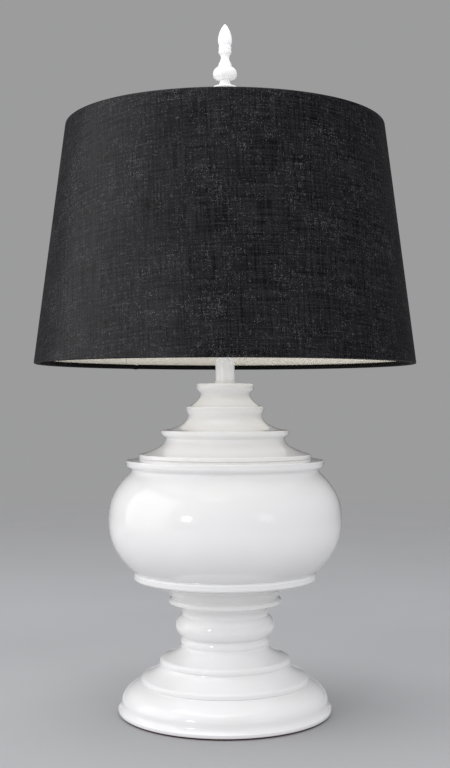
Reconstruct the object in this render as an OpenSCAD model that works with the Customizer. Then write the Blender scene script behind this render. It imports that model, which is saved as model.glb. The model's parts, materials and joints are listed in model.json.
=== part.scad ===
// Table lamp: a turned, white-lacquered urn body with a stepped cap, a tapered
// drum shade on a harp, and a tall turned finial. Millimetres, +Z up, origin at
// the middle of the felt that it stands on, front towards -Y, cord outlet at +Y.

/* [Foot] */
// Thickness of the felt under the foot
felt_t = 2; // [1:0.5:4]
// How far the felt stays inside the edge of the foot
felt_inset = 3; // [1:0.5:10]
// Diameter of the foot over its lip
foot_d = 283.8; // [270:0.2:340]
// Height of the lip
foot_lip_h = 4.4; // [3:0.2:8]
// Diameter of the foot's dome where it meets the lip
foot_dome_d = 274.4; // [260:0.2:278]
// Diameter of the lower step's rim
foot_low_rim_d = 223.4; // [200:0.2:240]
// Diameter of the upper step's rim
foot_high_rim_d = 173.6; // [150:0.2:190]
// Diameter of the foot where the stem stands on it
foot_top_d = 116; // [100:0.2:118]
// Height of the lower step's rim above the underside
foot_low_rim_z = 39.2; // [34:0.2:44]
// Height of the upper step's rim above the underside
foot_high_rim_z = 63.6; // [58:0.2:68]
// Height of the wooden foot
foot_h = 87.7; // [80:0.1:110]
// Diameter of the recess under the foot
foot_recess_d = 120; // [70:1:160]
// Depth of the recess under the foot
foot_recess_depth = 22; // [20:0.5:28]

/* [Stem] */
// Height of the stem
stem_h = 93.8; // [88:0.1:120]
// Diameter of the bead at the foot of the stem
stem_bead_d = 117.8; // [110:0.2:130]
// Height of the bead at the foot of the stem
stem_bead_h = 9.2; // [6:0.2:12]
// Diameter of the stem above and below its ball
stem_waist_d = 114.4; // [90:0.2:116]
// Diameter of the ball in the stem
stem_ball_d = 131.8; // [124:0.2:150]
// Height of the middle of the ball above the foot
stem_ball_z = 25.3; // [22:0.1:28]
// Height of the waist above the ball
stem_waist_z = 41.6; // [39:0.1:45]
// Diameter of the ring above the ball
stem_ring_d = 150.6; // [145:0.2:170]
// Height of the ring's lower edge above the foot
stem_ring_z = 55.4; // [52:0.1:58]
// Diameter of the throat above the ring
stem_throat_d = 142; // [120:0.2:144]
// Diameter of the flange that carries the belly
stem_flange_d = 243.6; // [225:0.2:262]
// Height of the flange's edge
stem_flange_h = 7; // [5:0.1:9]

/* [Belly] */
// Height of the belly
belly_h = 153.8; // [145:0.1:190]
// Diameter of the bead at the foot of the belly
belly_bead_d = 242.4; // [235:0.2:262]
// Height of the bead at the foot of the belly
belly_bead_h = 2.2; // [1.5:0.1:4]
// Largest diameter of the belly
belly_d = 311.6; // [300:0.2:350]
// Height of the largest diameter above the stem
belly_mid_z = 74.3; // [68:0.1:80]
// Diameter of the groove under the shoulder flange
belly_groove_d = 251.4; // [240:0.2:258]
// Diameter of the shoulder flange
shoulder_d = 265.8; // [262:0.2:290]
// Depth from the belly's top to the middle of the groove
shoulder_drop = 15.6; // [14:0.1:20]
// Wall of the hollow belly at its widest
belly_wall = 18; // [12:0.5:26]
// Diameter of the mouth that the cap closes
mouth_d = 190; // [150:1:210]

/* [Cap] */
// Height of the stepped cap
cap_h = 99.9; // [99:0.1:120]
// Diameter of the lowest step
step_1_d = 231; // [222:0.2:240]
// Diameter of the middle step
step_2_d = 173.4; // [166:0.2:190]
// Diameter of the upper step
step_3_d = 105.6; // [101:0.2:120]
// Diameter of the top disc
top_disc_d = 77.6; // [72:0.2:84]
// Diameter of the waist above the lowest step
waist_1_d = 159.6; // [140:0.2:164]
// Diameter of the waist above the middle step
waist_2_d = 99.6; // [90:0.2:100]
// Diameter of the waist above the upper step
waist_3_d = 66.8; // [60:0.2:70]
// Height of the waist above the lowest step, over the belly
waist_1_z = 26.5; // [25:0.1:28]
// Height of the waist above the middle step, over the belly
waist_2_z = 58.4; // [57:0.1:60]
// Height of the waist above the upper step, over the belly
waist_3_z = 86.2; // [85:0.1:88]
// Height of the lowest step's edge
step_1_h = 5.8; // [4:0.1:7]
// Height from a waist up to the widest point of the step above it
step_rise = 8.6; // [7.5:0.1:9]

/* [Neck] */
// Diameter of the neck tube
neck_d = 25.7; // [22:0.1:30]
// Length of the neck tube above its collar
neck_h = 41.2; // [30:0.1:80]
// Wall of the neck tube
neck_wall = 1.2; // [0.8:0.1:2]
// Diameter of the collar at the foot of the neck tube
neck_collar_d = 28; // [27:0.1:36]
// Height of the collar at the foot of the neck tube
neck_collar_h = 3.6; // [2:0.1:6]
// Diameter of the cover on top of the neck tube
neck_cap_d = 27.6; // [26:0.1:36]
// Height of the cover on top of the neck tube
neck_cap_h = 3; // [2:0.1:6]

/* [Rod] */
// Diameter of the threaded rod
rod_d = 10; // [9:0.1:12]
// Bore of the rod, which the wires pass through
rod_bore_d = 6.6; // [5:0.1:7]
// Length of rod below the washer in the foot
rod_tail = 9.5; // [8:0.1:12]
// Width across the flats of the hexagon nuts
nut_width = 17.5; // [15:0.1:20]
// Height of a hexagon nut
nut_h = 4.4; // [3:0.1:6]
// Diameter of the washer in the foot
washer_d = 38; // [28:0.5:50]
// Thickness of the washer in the foot
washer_t = 2; // [1:0.1:3]
// Thickness of the lock washer
lock_washer_t = 1.2; // [0.8:0.1:2]

/* [Cord outlet] */
// Bore of the bushing for the cord
cord_bore_d = 6.5; // [5:0.1:8]
// Diameter of the bushing's flange
bushing_flange_d = 13; // [12:0.1:15]
// Diameter of the bushing's barrel
bushing_barrel_d = 9; // [8.5:0.1:10]
// Length of the bushing's barrel
bushing_l = 14; // [8:0.5:30]
// Height of the outlet above the table
outlet_z = 12; // [10:0.1:14]

/* [Harp] */
// Height of the harp from the saddle's underside to the seat of the shade
harp_h = 281; // [255:0.5:310]
// Thickness of the harp's wire
harp_wire_d = 3.8; // [3:0.1:4.5]
// Largest width of the harp between its wire's middles
harp_w = 112; // [100:1:130]
// Distance between the two legs at the saddle
leg_span = 56; // [50:0.5:64]
// Thickness of the saddle's plate
saddle_t = 1.6; // [1.2:0.1:2.5]
// Width of the saddle's plate
saddle_w = 14; // [12:0.5:20]
// Height of the saddle's sockets
saddle_socket_h = 10; // [8:0.5:14]
// Length of the ferrule on each leg
ferrule_h = 8; // [6:0.5:12]
// Diameter of the ferrules and of the saddle's sockets
ferrule_d = 6.6; // [6:0.1:8]
// Length of a locking sleeve
sleeve_l = 12; // [11:0.5:16]
// Wall of a locking sleeve
sleeve_wall = 0.8; // [0.5:0.1:1.2]
// How far a locking sleeve slides up
sleeve_travel = 10; // [8:0.5:12]
// Diameter of the plate that the shade sits on
seat_d = 24; // [20:0.5:29]
// Thickness of the plate that the shade sits on
seat_t = 2; // [1.5:0.1:3]
// Diameter of the finial's screw thread
stud_d = 6.2; // [5:0.1:7]
// Length of the finial's screw above the seat
stud_l = 11.5; // [9:0.5:16]

/* [Socket] */
// Diameter of the socket's shell
socket_d = 32.8; // [32.6:0.1:36]
// Length of the socket's shell
socket_h = 50.5; // [49:0.1:54]
// Thickness of the socket's sheet brass
socket_sheet = 0.6; // [0.5:0.05:0.8]
// Thickness of the cardboard liner
liner_t = 0.9; // [0.6:0.1:1]
// Diameter of the bulb's thread
bulb_thread_d = 26; // [25.6:0.1:26.4]
// Diameter of the switch's shaft
switch_shaft_d = 3.2; // [2.5:0.1:4]
// Diameter of the switch's knob
knob_d = 13; // [10:0.5:16]
// Length of the switch's knob
knob_l = 14; // [10:0.5:18]

/* [Bulb] */
// Diameter of the bulb's glass
bulb_d = 60; // [45:1:75]
// Length of the bulb from its contact to its top
bulb_l = 105; // [95:1:130]
// Thickness of the bulb's glass
bulb_wall = 0.8; // [0.6:0.1:1.2]

/* [Shade] */
// Outer diameter of the shade at its lower edge
shade_bottom_d = 508; // [470:1:540]
// Outer diameter of the shade at its upper edge
shade_top_d = 425; // [380:1:460]
// Height of the shade
shade_h = 317.5; // [290:0.5:340]
// Thickness of the linen cover
linen_t = 0.8; // [0.5:0.1:1.2]
// Thickness of the lining
lining_t = 1; // [0.6:0.1:1.5]
// Thickness of the edge binding
binding_t = 0.7; // [0.4:0.1:1]
// Height of the edge binding
binding_h = 6.6; // [5.5:0.1:12]
// Thickness of the wire in the shade's two rings
ring_wire_d = 4; // [3:0.1:4.5]
// Thickness of the spider's spokes
spoke_d = 3.5; // [2.5:0.1:4]
// How far the upper edge stands above the seat
seat_drop = 14.3; // [8:0.1:30]
// How far the spider's washer stands out round the finial's foot
spider_washer_rim = 2; // [1.5:0.1:4]
// Thickness of the spider's washer
spider_washer_t = 2; // [1.5:0.1:3]
// Bore of the spider's washer
spider_bore_d = 11.1; // [9:0.1:12]

/* [Finial] */
// Diameter of the finial's foot
finial_foot_d = 28; // [26:0.5:36]
// Height of the pedestal under the finial's disc
finial_pedestal_h = 66; // [50:1:80]
// Diameter of the disc above the pedestal
finial_disc_d = 35; // [30:0.5:40]
// Height of the hollow sweep above the disc
finial_sweep_h = 9.7; // [8:0.1:14]
// Diameter of the round knob
finial_knob_d = 33; // [28:0.2:38]
// Height of the round knob
finial_knob_h = 18.5; // [15:0.1:24]
// Diameter of the slim necks below the knob and above the vase
finial_neck_d = 12.6; // [10:0.1:14]
// Height of the vase above the knob
finial_vase_h = 12.4; // [10:0.1:18]
// Diameter of the two beads
finial_bead_d = 17.8; // [16.4:0.1:20]
// Height of one bead
finial_bead_h = 4.9; // [4:0.1:6]
// Diameter of the spire
finial_spire_d = 19.4; // [17:0.1:24]
// Height of the spire
finial_spire_h = 30.5; // [24:0.5:45]
// Outer diameter of the brass thread insert
insert_d = 9; // [8:0.1:10]
// Length of the brass thread insert
insert_l = 16; // [12:0.5:22]

/* [Fits] */
// Radial clearance between turning or sliding pieces
running = 0.1; // [0.05:0.01:0.1]
// Radial clearance of the rod in the wooden pieces
rod_clearance = 0.4; // [0.2:0.05:0.8]
// Clearance of the wooden spigots in their sockets
spigot_clearance = 0.3; // [0.2:0.05:0.5]
// Gap left by a glued or a seated face
seat_gap = 0.05; // [0.02:0.01:0.1]

/* [Hidden] */
$fn = 96;

// Heights of the stack, from the table up
foot_z = felt_t;
stem_z = foot_z + foot_h;
belly_z = stem_z + stem_h;
cap_z = belly_z + belly_h;
neck_z = cap_z + cap_h;
tube_z = neck_z + neck_collar_h;
neck_cap_z = tube_z + neck_h;
saddle_z = neck_cap_z + neck_cap_h;
top_nut_z = saddle_z + saddle_t;
socket_z = top_nut_z + nut_h;
seat_z = saddle_z + harp_h;
shade_top_z = seat_z + seat_drop;
shade_z = shade_top_z - shade_h;
finial_z = seat_z + spider_washer_t + 2 * seat_gap;

// Underside of the stack
recess_z = foot_z + foot_recess_depth;
washer_z = recess_z - washer_t;
lock_washer_z = washer_z - lock_washer_t;
foot_nut_z = lock_washer_z - nut_h;
rod_z = washer_z - rod_tail;
rod_hub_depth = 5.2;
rod_top_z = socket_z + rod_hub_depth;
rod_hole_r = rod_d / 2 + rod_clearance;

// Colours
lacquer = [0.95, 0.95, 0.94];
brass = [0.80, 0.65, 0.33];
nickel = [0.75, 0.75, 0.76];
black_linen = [0.10, 0.10, 0.11];

// Points of a curve from a to d that leaves towards b and arrives from c,
// without its last point, so that the next curve can follow on
curve_steps = 10;
function bend(a, b, c, d, n = curve_steps) = [
    for (i = [0:n - 1])
        let (t = i / n, s = 1 - t)
        s * s * s * a + 3 * s * s * t * b + 3 * s * t * t * c + t * t * t * d
];

// Rounded outer top edge of a rim, with its corner at radius r and height z
rounding_steps = 4;
function top_edge(r, z, size) = [
    for (i = [0:rounding_steps])
        let (a = 90 * i / rounding_steps)
        [r - size + size * cos(a), z - size + size * sin(a)]
];

// Hollow sweep from the edge of a step, at a slope, up to an upright waist
function cove(edge, waist, slope, reach, lift) =
    bend(edge, edge + reach * [-cos(slope), sin(slope)], waist - [0, lift], waist);

// Swelling from an upright waist out to an upright rim above it
function swell(waist, rim, pull) =
    bend(waist, waist + [0, pull], rim - [0, pull], rim);

// Points of a wall's two faces joined into one closed outline
function reversed(points) = [for (i = [len(points) - 1:-1:0]) points[i]];

module turned(points) {
    rotate_extrude() polygon(points);
}

module ring(z, h, outer_r, inner_r) {
    translate([0, 0, z]) difference() {
        cylinder(h = h, r = outer_r);
        translate([0, 0, -1]) cylinder(h = h + 2, r = inner_r);
    }
}

module hex_nut(z) {
    translate([0, 0, z]) difference() {
        cylinder(h = nut_h, d = nut_width / cos(30), $fn = 6);
        translate([0, 0, -1]) cylinder(h = nut_h + 2, r = rod_d / 2 + seat_gap);
    }
}

// ---- Turned wooden body ----

spigot_r = 30;
spigot_h = 6;
recess_r = spigot_r + spigot_clearance;
recess_depth = spigot_h + spigot_clearance;

// A step of the foot: a rim with a rounded shoulder, standing on a fine groove
rim_groove = 0.6;
rim_shoulder = [3.4, 7.6];
function foot_rim(r, z) = concat(
    [[r - rim_groove, z], [r, z + 0.8]],
    bend([r, z + 3.6], [r, z + 5.8], [r - 1.5, z + 6.7], [r - rim_shoulder.x, z + rim_shoulder.y])
);

lip_sweep_h = 8.5;
dome_foot_h = 10.6;
module foot() {
    r = foot_d / 2;
    dome_r = foot_dome_d / 2;
    low_r = foot_low_rim_d / 2;
    high_r = foot_high_rim_d / 2;
    dome_z = foot_lip_h + dome_foot_h;
    outside = concat(
        bend([r - 1.6, 0], [r - 0.6, 0.4], [r, 1.2], [r, 2.6], 4),
        bend([r, foot_lip_h], [r - 0.9, foot_lip_h + 1.6], [dome_r + 0.4, foot_lip_h + 3.2],
             [dome_r, foot_lip_h + lip_sweep_h], 6),
        bend([dome_r, dome_z], [dome_r, dome_z + 12.5],
             [low_r + 9.6, foot_low_rim_z - 3.4], [low_r - rim_groove, foot_low_rim_z], 16),
        foot_rim(low_r, foot_low_rim_z),
        cove([low_r, foot_low_rim_z] + [-rim_shoulder.x, rim_shoulder.y],
             [high_r - rim_groove, foot_high_rim_z], 23, 14, 5.1),
        foot_rim(high_r, foot_high_rim_z),
        cove([high_r, foot_high_rim_z] + [-rim_shoulder.x, rim_shoulder.y],
             [foot_top_d / 2, foot_h], 14, 9, 7),
        [[foot_top_d / 2, foot_h]]
    );
    inside = [
        [recess_r, foot_h],
        [recess_r, foot_h - recess_depth],
        [rod_hole_r, foot_h - recess_depth],
        [rod_hole_r, foot_recess_depth],
        [foot_recess_d / 2, foot_recess_depth],
        [foot_recess_d / 2, 0]
    ];
    color(lacquer) difference() {
        translate([0, 0, foot_z]) turned(concat(outside, inside));
        outlet_hole();
    }
}

// Passage for the cord, from the recess out through the back of the foot, with
// a flat seat for the bushing's flange
outlet_seat_y = foot_dome_d / 2 - 1;
module outlet_hole() {
    translate([0, 0, outlet_z]) rotate([-90, 0, 0]) {
        cylinder(h = foot_d, d = bushing_barrel_d + 2 * seat_gap);
        translate([0, 0, outlet_seat_y]) cylinder(h = foot_d, d = bushing_flange_d + 1);
    }
}

module cord_bushing() {
    flange_t = 1.6;
    color("black") translate([0, 0, outlet_z]) rotate([-90, 0, 0]) difference() {
        union() {
            translate([0, 0, outlet_seat_y - bushing_l]) cylinder(h = bushing_l + 1, d = bushing_barrel_d);
            translate([0, 0, outlet_seat_y]) cylinder(h = flange_t, d = bushing_flange_d);
        }
        translate([0, 0, outlet_seat_y - bushing_l - 1])
            cylinder(h = bushing_l + flange_t + 2, d = cord_bore_d);
    }
}

module felt_pad() {
    color([0.35, 0.16, 0.13]) cylinder(h = felt_t, r = foot_d / 2 - felt_inset);
}

module stem() {
    bead_r = stem_bead_d / 2;
    waist_r = stem_waist_d / 2;
    ring_r = stem_ring_d / 2;
    throat_r = stem_throat_d / 2;
    flange_r = stem_flange_d / 2;
    flange_z = stem_h - stem_flange_h;
    ball_curve = 16;
    ball_centre = stem_ball_d / 2 - ball_curve;
    ball_angle = acos((waist_r + 0.4 - ball_centre) / ball_curve);
    ball_steps = 16;
    ring_top = stem_ring_z + 7.4;
    outside = concat(
        bend([bead_r - 1, 0], [bead_r + 0.5, 1.8], [bead_r + 0.5, stem_bead_h - 1.9],
             [waist_r + 0.2, stem_bead_h], 8),
        [[waist_r + 0.2, stem_bead_h]],
        [for (i = [0:ball_steps]) let (a = ball_angle * (2 * i / ball_steps - 1))
            [ball_centre + ball_curve * cos(a), stem_ball_z + ball_curve * sin(a)]],
        bend([waist_r, stem_waist_z], [waist_r, stem_waist_z + 6.2],
             [ring_r - 9.3, stem_ring_z - 3.2], [ring_r - 1.7, stem_ring_z]),
        bend([ring_r - 1.7, stem_ring_z], [ring_r - 0.5, stem_ring_z + 0.4],
             [ring_r, stem_ring_z + 1], [ring_r, stem_ring_z + 2], 4),
        bend([ring_r, stem_ring_z + 3.4], [ring_r, stem_ring_z + 5.4],
             [throat_r + 2.6, ring_top - 0.4], [throat_r, ring_top], 6),
        bend([throat_r, ring_top + 2], [throat_r, ring_top + 11],
             [flange_r - 37.4, flange_z - 8.4], [flange_r - 3.4, flange_z - 0.4], 14),
        bend([flange_r - 3.4, flange_z - 0.4], [flange_r - 1.4, flange_z],
             [flange_r, flange_z + 1], [flange_r, flange_z + 2.6], 4),
        [[flange_r, flange_z + 2.6], [flange_r, stem_h - 0.4], [flange_r - 0.4, stem_h]]
    );
    inside = [
        [spigot_r, stem_h],
        [spigot_r, stem_h + spigot_h],
        [rod_hole_r, stem_h + spigot_h],
        [rod_hole_r, -spigot_h],
        [spigot_r, -spigot_h],
        [spigot_r, 0]
    ];
    color(lacquer) translate([0, 0, stem_z]) turned(concat(outside, inside));
}

mouth_depth = 8;
module belly() {
    bead_r = belly_bead_d / 2;
    r = belly_d / 2;
    groove = [belly_groove_d / 2, belly_h - shoulder_drop];
    shoulder_r = shoulder_d / 2;
    shoulder_z = belly_h - 2.3;
    throat = [bead_r - 1.2, belly_bead_h + 0.8];
    upper_end = groove + [2.3, -3.9];
    mouth_r = mouth_d / 2;
    wall_r = r - belly_wall;
    floor_z = 15;
    outside = concat(
        [[bead_r - 0.4, 0], [bead_r, 0.4], [bead_r, belly_bead_h - 0.5],
         [bead_r - 0.5, belly_bead_h]],
        bend(throat, throat + [19.5, 16.5], [r, belly_mid_z - 35], [r, belly_mid_z], 20),
        bend([r, belly_mid_z], [r, belly_mid_z + 26], upper_end + [18.7, -18.1], upper_end, 20),
        bend(upper_end, upper_end + [-1.4, 1.4], groove - [0, 1.5], groove, 4),
        bend(groove, groove + [0, 2.4], [shoulder_r, groove.y + 3.5], [shoulder_r, groove.y + 8.3]),
        top_edge(shoulder_r, shoulder_z, 1.2),
        [[step_1_d / 2 + 1.8, belly_h], [mouth_r, belly_h]]
    );
    inside = concat(
        bend([mouth_r, belly_h - mouth_depth], [mouth_r + 23, belly_h - mouth_depth - 14],
             [wall_r, belly_mid_z + 30], [wall_r, belly_mid_z]),
        bend([wall_r, belly_mid_z], [wall_r, belly_mid_z - 32], [wall_r - 25, floor_z],
             [wall_r - 78, floor_z]),
        [[wall_r - 78, floor_z],
         [rod_hole_r, floor_z],
         [rod_hole_r, recess_depth],
         [recess_r, recess_depth],
         [recess_r, 0]]
    );
    color(lacquer) translate([0, 0, belly_z]) turned(concat(outside, inside));
}

module stepped_cap() {
    r1 = step_1_d / 2;
    r2 = step_2_d / 2;
    r3 = step_3_d / 2;
    disc_r = top_disc_d / 2;
    waist_1 = [waist_1_d / 2, waist_1_z];
    waist_2 = [waist_2_d / 2, waist_2_z];
    waist_3 = [waist_3_d / 2, waist_3_z];
    rise_2 = waist_1_z + step_rise;
    rise_3 = waist_2_z + step_rise;
    rise_4 = waist_3_z + step_rise;
    pull = 3.3;
    lid_r = mouth_d / 2 - spigot_clearance;
    lid_depth = 5;
    outside = concat(
        [[r1 - 0.7, 0], [r1, 0.7]],
        top_edge(r1, step_1_h, 1.6),
        cove([r1 - 1.6, step_1_h], waist_1, 14, 25, 6.3),
        swell(waist_1, [r2, rise_2], pull),
        top_edge(r2, rise_2 + 2.4, 1.5),
        cove([r2 - 1.5, rise_2 + 2.4], waist_2, 5, 17.7, 11.4),
        swell(waist_2, [r3, rise_3], pull),
        top_edge(r3, rise_3 + 2.4, 1.8),
        cove([r3 - 1.8, rise_3 + 2.4], waist_3, 9, 8.1, 7.7),
        swell(waist_3, [disc_r, rise_4], pull),
        top_edge(disc_r, cap_h, 2.6)
    );
    inside = [
        [rod_hole_r, cap_h],
        [rod_hole_r, -lid_depth],
        [lid_r, -lid_depth],
        [lid_r, 0]
    ];
    color(lacquer) translate([0, 0, cap_z]) turned(concat(outside, inside));
}

// ---- Neck and rod ----

module neck_collar() {
    r = neck_collar_d / 2;
    color(lacquer) translate([0, 0, neck_z]) turned(concat(
        [[rod_hole_r, 0], [r, 0]],
        top_edge(r, neck_collar_h, 0.8),
        [[rod_hole_r, neck_collar_h]]
    ));
}

module neck_tube() {
    color(lacquer) ring(tube_z, neck_h, neck_d / 2, neck_d / 2 - neck_wall);
}

module neck_cover() {
    r = neck_cap_d / 2;
    plug_r = neck_d / 2 - neck_wall - running;
    plug_h = 3;
    bore_r = rod_d / 2 + running;
    color(lacquer) translate([0, 0, neck_cap_z]) turned(concat(
        [[bore_r, -plug_h], [plug_r, -plug_h], [plug_r, 0], [r, 0]],
        top_edge(r, neck_cap_h, 1),
        [[bore_r, neck_cap_h]]
    ));
}

module threaded_rod() {
    color(brass) ring(rod_z, rod_top_z - rod_z, rod_d / 2, rod_bore_d / 2);
}

module rod_washer() {
    color(nickel) ring(washer_z, washer_t, washer_d / 2, rod_d / 2 + running);
}

module rod_lock_washer() {
    tooth_count = 12;
    rim_r = 9;
    color(nickel) difference() {
        ring(lock_washer_z, lock_washer_t, rim_r, rod_d / 2 + running);
        for (i = [0:tooth_count - 1])
            rotate([0, 0, 360 * i / tooth_count])
                translate([rim_r + 0.4, 0, lock_washer_z - 1])
                    cylinder(h = lock_washer_t + 2, r = 1.3, $fn = 24);
    }
}

module rod_nuts() {
    color(brass) {
        hex_nut(foot_nut_z);
        hex_nut(top_nut_z);
    }
}

// ---- Harp ----

leg_x = leg_span / 2;
wire_r = harp_wire_d / 2;
ferrule_r = ferrule_d / 2;
socket_top_z = top_nut_z + saddle_socket_h;
wire_foot_z = top_nut_z + 0.3;
straight_top_z = socket_top_z + ferrule_h + sleeve_travel;
wire_top_z = seat_z - seat_t - wire_r - 1.2;

module harp_saddle() {
    plate_r = saddle_w / 2;
    color(nickel) difference() {
        union() {
            translate([0, 0, saddle_z]) linear_extrude(saddle_t) {
                square([leg_span, saddle_w], center = true);
                for (side = [-1, 1]) translate([side * leg_x, 0]) circle(r = plate_r);
            }
            for (side = [-1, 1]) translate([side * leg_x, 0, saddle_z])
                cylinder(h = saddle_t + saddle_socket_h, r = ferrule_r);
        }
        translate([0, 0, saddle_z - 1]) cylinder(h = saddle_t + 2, r = rod_d / 2 + running);
        for (side = [-1, 1]) translate([side * leg_x, 0, top_nut_z])
            cylinder(h = saddle_socket_h + 1, r = wire_r + running);
    }
}

module harp_ferrules() {
    color(nickel) for (side = [-1, 1])
        translate([side * leg_x, 0, 0])
            ring(socket_top_z + seat_gap, ferrule_h, ferrule_r, wire_r + seat_gap);
}

// Middle line of the right half of the wire, from its foot to the crown
harp_side_z = straight_top_z + 0.33 * (wire_top_z - straight_top_z);
crown_x = 9;
harp_right = concat(
    [[leg_x, wire_foot_z]],
    bend([leg_x, straight_top_z], [leg_x, straight_top_z + 30],
         [harp_w / 2, harp_side_z - 38], [harp_w / 2, harp_side_z], 8),
    bend([harp_w / 2, harp_side_z], [harp_w / 2, harp_side_z + 90],
         [harp_w / 2 - 8, wire_top_z], [crown_x, wire_top_z], 14),
    [[crown_x, wire_top_z]]
);
harp_path = concat(harp_right, [for (p = reversed(harp_right)) [-p.x, p.y]]);

// Round wire of eight sides swept along the path, which lies in the XZ plane
module harp() {
    sides = 8;
    count = len(harp_path);
    function direction(i) =
        let (d = harp_path[min(i + 1, count - 1)] - harp_path[max(i - 1, 0)]) d / norm(d);
    points = [for (i = [0:count - 1]) for (k = [0:sides - 1])
        let (t = direction(i), a = 360 * (k + 0.5) / sides, w = wire_r * cos(a))
        [harp_path[i].x - t.y * w, wire_r * sin(a), harp_path[i].y + t.x * w]];
    walls = [for (i = [0:count - 2]) for (k = [0:sides - 1])
        let (a = i * sides + k, b = i * sides + (k + 1) % sides)
        [a, b, b + sides, a + sides]];
    ends = [[for (k = [sides - 1:-1:0]) k],
            [for (k = [0:sides - 1]) (count - 1) * sides + k]];
    color(nickel) polyhedron(points, concat(walls, ends));
}

// Turned crown: the wire runs through its barrel, the shade sits on its plate
// and is centred by the shoulder, and the finial screws on its thread
seat_shoulder_h = 1.7;
module harp_stud() {
    barrel_r = wire_r + 3;
    barrel_z = wire_top_z - wire_r - 1.2;
    shoulder_r = spider_bore_d / 2 - running;
    color(brass) difference() {
        turned([
            [0, barrel_z], [barrel_r, barrel_z],
            [barrel_r, seat_z - seat_t], [seat_d / 2, seat_z - seat_t],
            [seat_d / 2, seat_z], [shoulder_r, seat_z],
            [shoulder_r, seat_z + seat_shoulder_h], [stud_d / 2, seat_z + seat_shoulder_h],
            [stud_d / 2, seat_z + stud_l], [0, seat_z + stud_l]
        ]);
        translate([0, 0, wire_top_z]) rotate([0, 90, 0])
            cylinder(h = 4 * barrel_r, r = wire_r + running, center = true);
    }
}

module harp_sleeve(side) {
    bore_r = ferrule_r + running;
    color(nickel) translate([side * leg_x, 0, 0])
        ring(top_nut_z + 0.3, sleeve_l, bore_r + sleeve_wall, bore_r);
}

module harp_sleeve_left() {
    harp_sleeve(-1);
}

module harp_sleeve_right() {
    harp_sleeve(1);
}

// ---- Lampholder ----

socket_r = socket_d / 2;
cap_skirt_r = socket_r + running + socket_sheet;
shell_z = socket_z + 12.4;
shell_top_z = shell_z + socket_h;
liner_r = socket_r - socket_sheet - running;
insulator_r = liner_r - liner_t - 0.2;
insulator_z = shell_z + 1;
insulator_h = 20;
insulator_top_z = insulator_z + insulator_h;
switch_z = insulator_z + 10;
shell_hole_r = switch_shaft_d / 2 + 2;
terminal_x = 11;
terminal_screw_d = 3;
terminal_head_d = 6;

module socket_cap() {
    hub_r = 8;
    hub_h = 5.8;
    skirt_z = 12;
    skirt_top = 17;
    inner_r = cap_skirt_r - socket_sheet;
    outside = concat(
        [[hub_r, 0]],
        bend([hub_r, 3.4], [hub_r + 0.4, 6], [cap_skirt_r, 6.2], [cap_skirt_r, skirt_z], 8),
        [[cap_skirt_r, skirt_z], [cap_skirt_r, skirt_top]]
    );
    inside = concat(
        [[inner_r, skirt_top]],
        bend([inner_r, skirt_z], [inner_r, 7], [hub_r + 1, 6.8], [hub_r - 0.6, hub_h], 8),
        [[hub_r - 0.6, hub_h], [rod_d / 2 + seat_gap, hub_h], [rod_d / 2 + seat_gap, 0]]
    );
    color(brass) translate([0, 0, socket_z]) turned(concat(outside, inside));
}

// Hole in the front for the switch's shaft
module switch_hole(r) {
    translate([0, 0, switch_z]) rotate([90, 0, 0]) cylinder(h = 2 * socket_r, r = r);
}

module socket_shell() {
    bead = 0.6;
    inner_r = socket_r - socket_sheet;
    color(brass) difference() {
        turned([
            [inner_r, shell_z], [socket_r, shell_z],
            [socket_r, shell_top_z - 2.4], [socket_r + bead, shell_top_z - 1.8],
            [socket_r + bead, shell_top_z - 0.6], [socket_r, shell_top_z],
            [inner_r, shell_top_z]
        ]);
        switch_hole(shell_hole_r);
    }
}

module socket_liner() {
    color([0.25, 0.22, 0.19]) difference() {
        ring(shell_z + 0.3, socket_h - 1.5, liner_r, liner_r - liner_t);
        switch_hole(shell_hole_r);
    }
}

module socket_insulator() {
    color([0.12, 0.11, 0.10]) difference() {
        translate([0, 0, insulator_z]) cylinder(h = insulator_h, r = insulator_r);
        for (side = [-1, 1]) translate([side * (terminal_x + insulator_r), 0, switch_z])
            cube([2 * insulator_r, 2 * terminal_head_d, terminal_head_d + 2], center = true);
        translate([0, 0, switch_z]) rotate([0, 90, 0])
            cylinder(h = 4 * insulator_r, d = terminal_screw_d + 2 * seat_gap, center = true);
        switch_hole(switch_shaft_d / 2 + running);
    }
}

module screw_shell() {
    inner_r = bulb_thread_d / 2 + running;
    sheet = 0.5;
    height = 25;
    color([0.78, 0.76, 0.70]) translate([0, 0, insulator_top_z]) turned([
        [8, 0], [inner_r + sheet, 0], [inner_r + sheet, height],
        [inner_r, height], [inner_r, sheet], [8, sheet]
    ]);
}

contact_h = 1.4;
module centre_contact() {
    color(brass) translate([0, 0, insulator_top_z]) turned([
        [0, 0], [2, 0], [2, 0.8], [3.6, 0.9], [3.6, contact_h], [0, contact_h]
    ]);
}

module terminal_screws() {
    head_t = 1.6;
    shank_l = 5;
    color(brass) for (side = [-1, 1])
        translate([side * terminal_x, 0, switch_z]) rotate([0, side * 90, 0]) {
            cylinder(h = head_t, d = terminal_head_d);
            translate([0, 0, -shank_l]) cylinder(h = shank_l + 0.5, d = terminal_screw_d);
        }
}

module switch_knob() {
    knob_y = cap_skirt_r + 1.5;
    shaft_end = 4;
    color("black") translate([0, 0, switch_z]) rotate([90, 0, 0]) turned([
        [0, shaft_end], [switch_shaft_d / 2, shaft_end],
        [switch_shaft_d / 2, knob_y], [knob_d / 2 - 1.4, knob_y],
        [knob_d / 2 - 0.6, knob_y + 2], [knob_d / 2, knob_y + knob_l - 1],
        [knob_d / 2 - 1, knob_y + knob_l], [0, knob_y + knob_l]
    ]);
}

// ---- Bulb ----

bulb_z = insulator_top_z + contact_h + seat_gap;
bulb_thread_r = bulb_thread_d / 2;
bulb_cap_z = 5.2;
bulb_cap_h = 23;
bulb_neck_r = bulb_thread_r - 0.9;

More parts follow.
